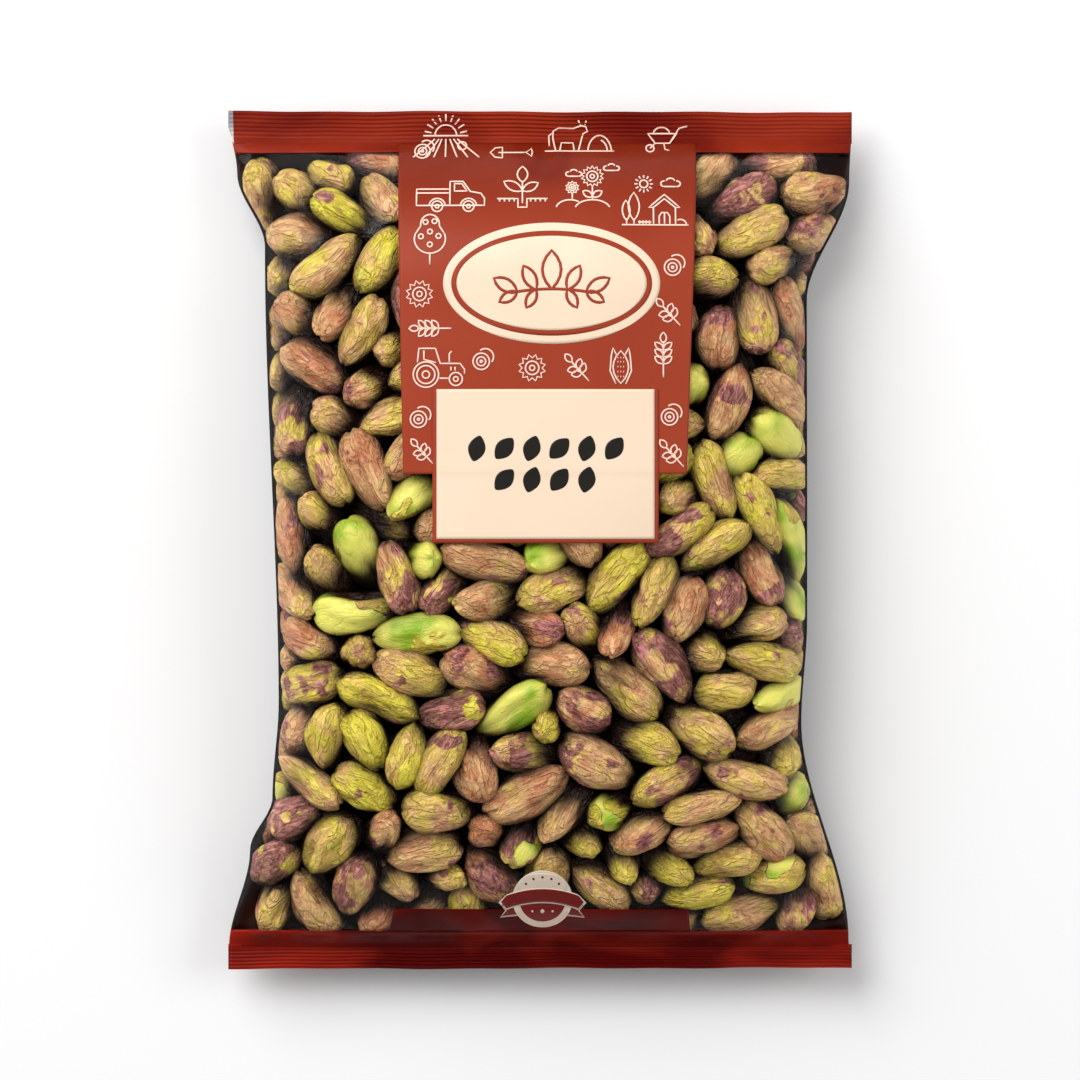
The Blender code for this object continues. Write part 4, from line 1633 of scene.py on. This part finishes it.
class BAG_OT_stick_badge(bpy.types.Operator):
    """Stick on the round badge with its plain ribbon"""

    bl_idname = "bag.stick_badge"
    bl_label = "Stick on the badge"

    def execute(self, context):
        s = context.scene.print_settings
        silver = print_ink("badge_foil", s.badge_silver, s.badge_deep, 0.3, 0.4)
        maroon = print_ink("ribbon_ink", s.ribbon_maroon, s.ribbon_deep, 0.34, 0.3)
        disc = rounded(BADGE_CENTRE, (BADGE_RADIUS, BADGE_RADIUS))
        heart = rounded((BADGE_CENTRE[0], BADGE_CENTRE[1] - 0.1), (5.7, 5.7))
        dome = rounded((BADGE_CENTRE[0], BADGE_CENTRE[1] + 3.6), (6.0, 3.2))
        below = ("film", "foot_patch", "foot_band", "bottom_seal")
        slot, replaced = "sticker_paper", ("quality_sticker",)
        tails = [(tail_shape(side, 0.35), 12, 8) for side in (-1, 1)]
        printed("tail_edges", tails, below, 0.12 * MM, silver, THIN_INK)
        tails = [(tail_shape(side), 12, 8) for side in (-1, 1)]
        printed("tails", tails, (*below, "tail_edges"), INK_LIFT, maroon, THIN_INK)
        below = (*below, "tails")
        printed("badge", ((disc, 44, 44),), below, STICKER_LIFT, silver, 0.1 * MM, replaced)
        printed("badge_heart", ((heart, 26, 26),), ("badge",), INK_LIFT, maroon, THIN_INK)
        printed("badge_dome", ((dome, 26, 16),), ("badge_heart", "badge"), INK_LIFT, silver, THIN_INK)
        banner = (lambda u, v: ribbon_shape(u * 1.04, v * 1.2), 48, 8)
        below = (*below, "badge", "badge_heart", "badge_dome")
        printed("banner_edge", (banner,), below, 0.1 * MM, silver, THIN_INK)
        printed("banner", ((ribbon_shape, 48, 8),), ("banner_edge",), INK_LIFT, maroon, THIN_INK)
        dots = [(rounded(place, (0.3, 0.3)), 4, 4) for place in around_badge(7, 5.7, 22, 158)]
        printed("dome_dots", dots, ("badge_dome", "badge"), DOT_LIFT, maroon, THIN_INK)
        dots = [
            (rounded((BADGE_CENTRE[0] + x, BADGE_CENTRE[1] - 3.1), (size, size)), 4, 4)
            for x, size in ((-2.5, 0.28), (0.0, 0.5), (2.5, 0.28))
        ]
        printed("heart_dots", dots, ("badge_heart",), DOT_LIFT, silver, THIN_INK)
        return {"FINISHED"}


class BAG_OT_draw_lines(bpy.types.Operator):
    """Draw the farm pictures on the panel, the twig in the oval and the rings of the badge"""

    bl_idname = "bag.draw_lines"
    bl_label = "Draw the lines"

    def execute(self, context):
        s = context.scene.print_settings
        pale = print_ink("line_ink", s.line_ink, s.line_ink, 0.4, 0.2)
        brown = print_ink("twig_ink", s.panel_brown, s.panel_deep, 0.4, 0.2)
        farm, twig, rings = Pen(), Pen(), Pen()
        draw_all(farm)
        draw_oval_sprig(twig)
        draw_badge(rings)
        stroked("farm_lines", farm, s.line_width, ("panel", "top_seal", "film"), 0.15 * MM, pale)
        stroked("twig_lines", twig, s.line_width * 1.7, ("oval_heart",), DOT_LIFT, brown)
        below = ("badge_heart", "badge", "badge_dome")
        stroked("badge_lines", rings, s.line_width * 0.5, below, DOT_LIFT, pale)
        return {"FINISHED"}


class BAG_OT_set_stage(bpy.types.Operator):
    """Set up the floor, the lights and the camera"""

    bl_idname = "bag.set_stage"
    bl_label = "Set the stage"

    def execute(self, context):
        build_stage(context.scene.stage_settings)
        return {"FINISHED"}


OPERATORS = (
    BAG_OT_fill_kernels,
    BAG_OT_draw_film,
    BAG_OT_crimp_ends,
    BAG_OT_fold_fin,
    BAG_OT_print_panel,
    BAG_OT_stick_label,
    BAG_OT_stick_badge,
    BAG_OT_draw_lines,
    BAG_OT_set_stage,
)


class BAG_PT_pieces(bpy.types.Panel):
    """Lists the bag's pieces and their settings"""

    bl_label = "Kernel bag"
    bl_space_type = "VIEW_3D"
    bl_region_type = "UI"
    bl_category = "Kernel bag"

    def draw(self, context):
        for operator in OPERATORS:
            self.layout.operator(operator.bl_idname)
        for group in SETTINGS:
            box = self.layout.box()
            for name in SETTINGS[group].__annotations__:
                box.prop(getattr(context.scene, group), name)


SETTINGS = {
    "kernel_settings": KernelSettings,
    "film_settings": FilmSettings,
    "print_settings": PrintSettings,
    "stage_settings": StageSettings,
}


def register():
    for name, group in SETTINGS.items():
        bpy.utils.register_class(group)
        setattr(bpy.types.Scene, name, bpy.props.PointerProperty(type=group))
    for operator in OPERATORS:
        bpy.utils.register_class(operator)
    bpy.utils.register_class(BAG_PT_pieces)


def unregister():
    bpy.utils.unregister_class(BAG_PT_pieces)
    for operator in reversed(OPERATORS):
        bpy.utils.unregister_class(operator)
    for name, group in SETTINGS.items():
        delattr(bpy.types.Scene, name)
        bpy.utils.unregister_class(group)


def main():
    """Builds every piece in order."""
    register()
    for operator in OPERATORS:
        group, action = operator.bl_idname.split(".")
        getattr(getattr(bpy.ops, group), action)()


if __name__ == "__main__":
    main()
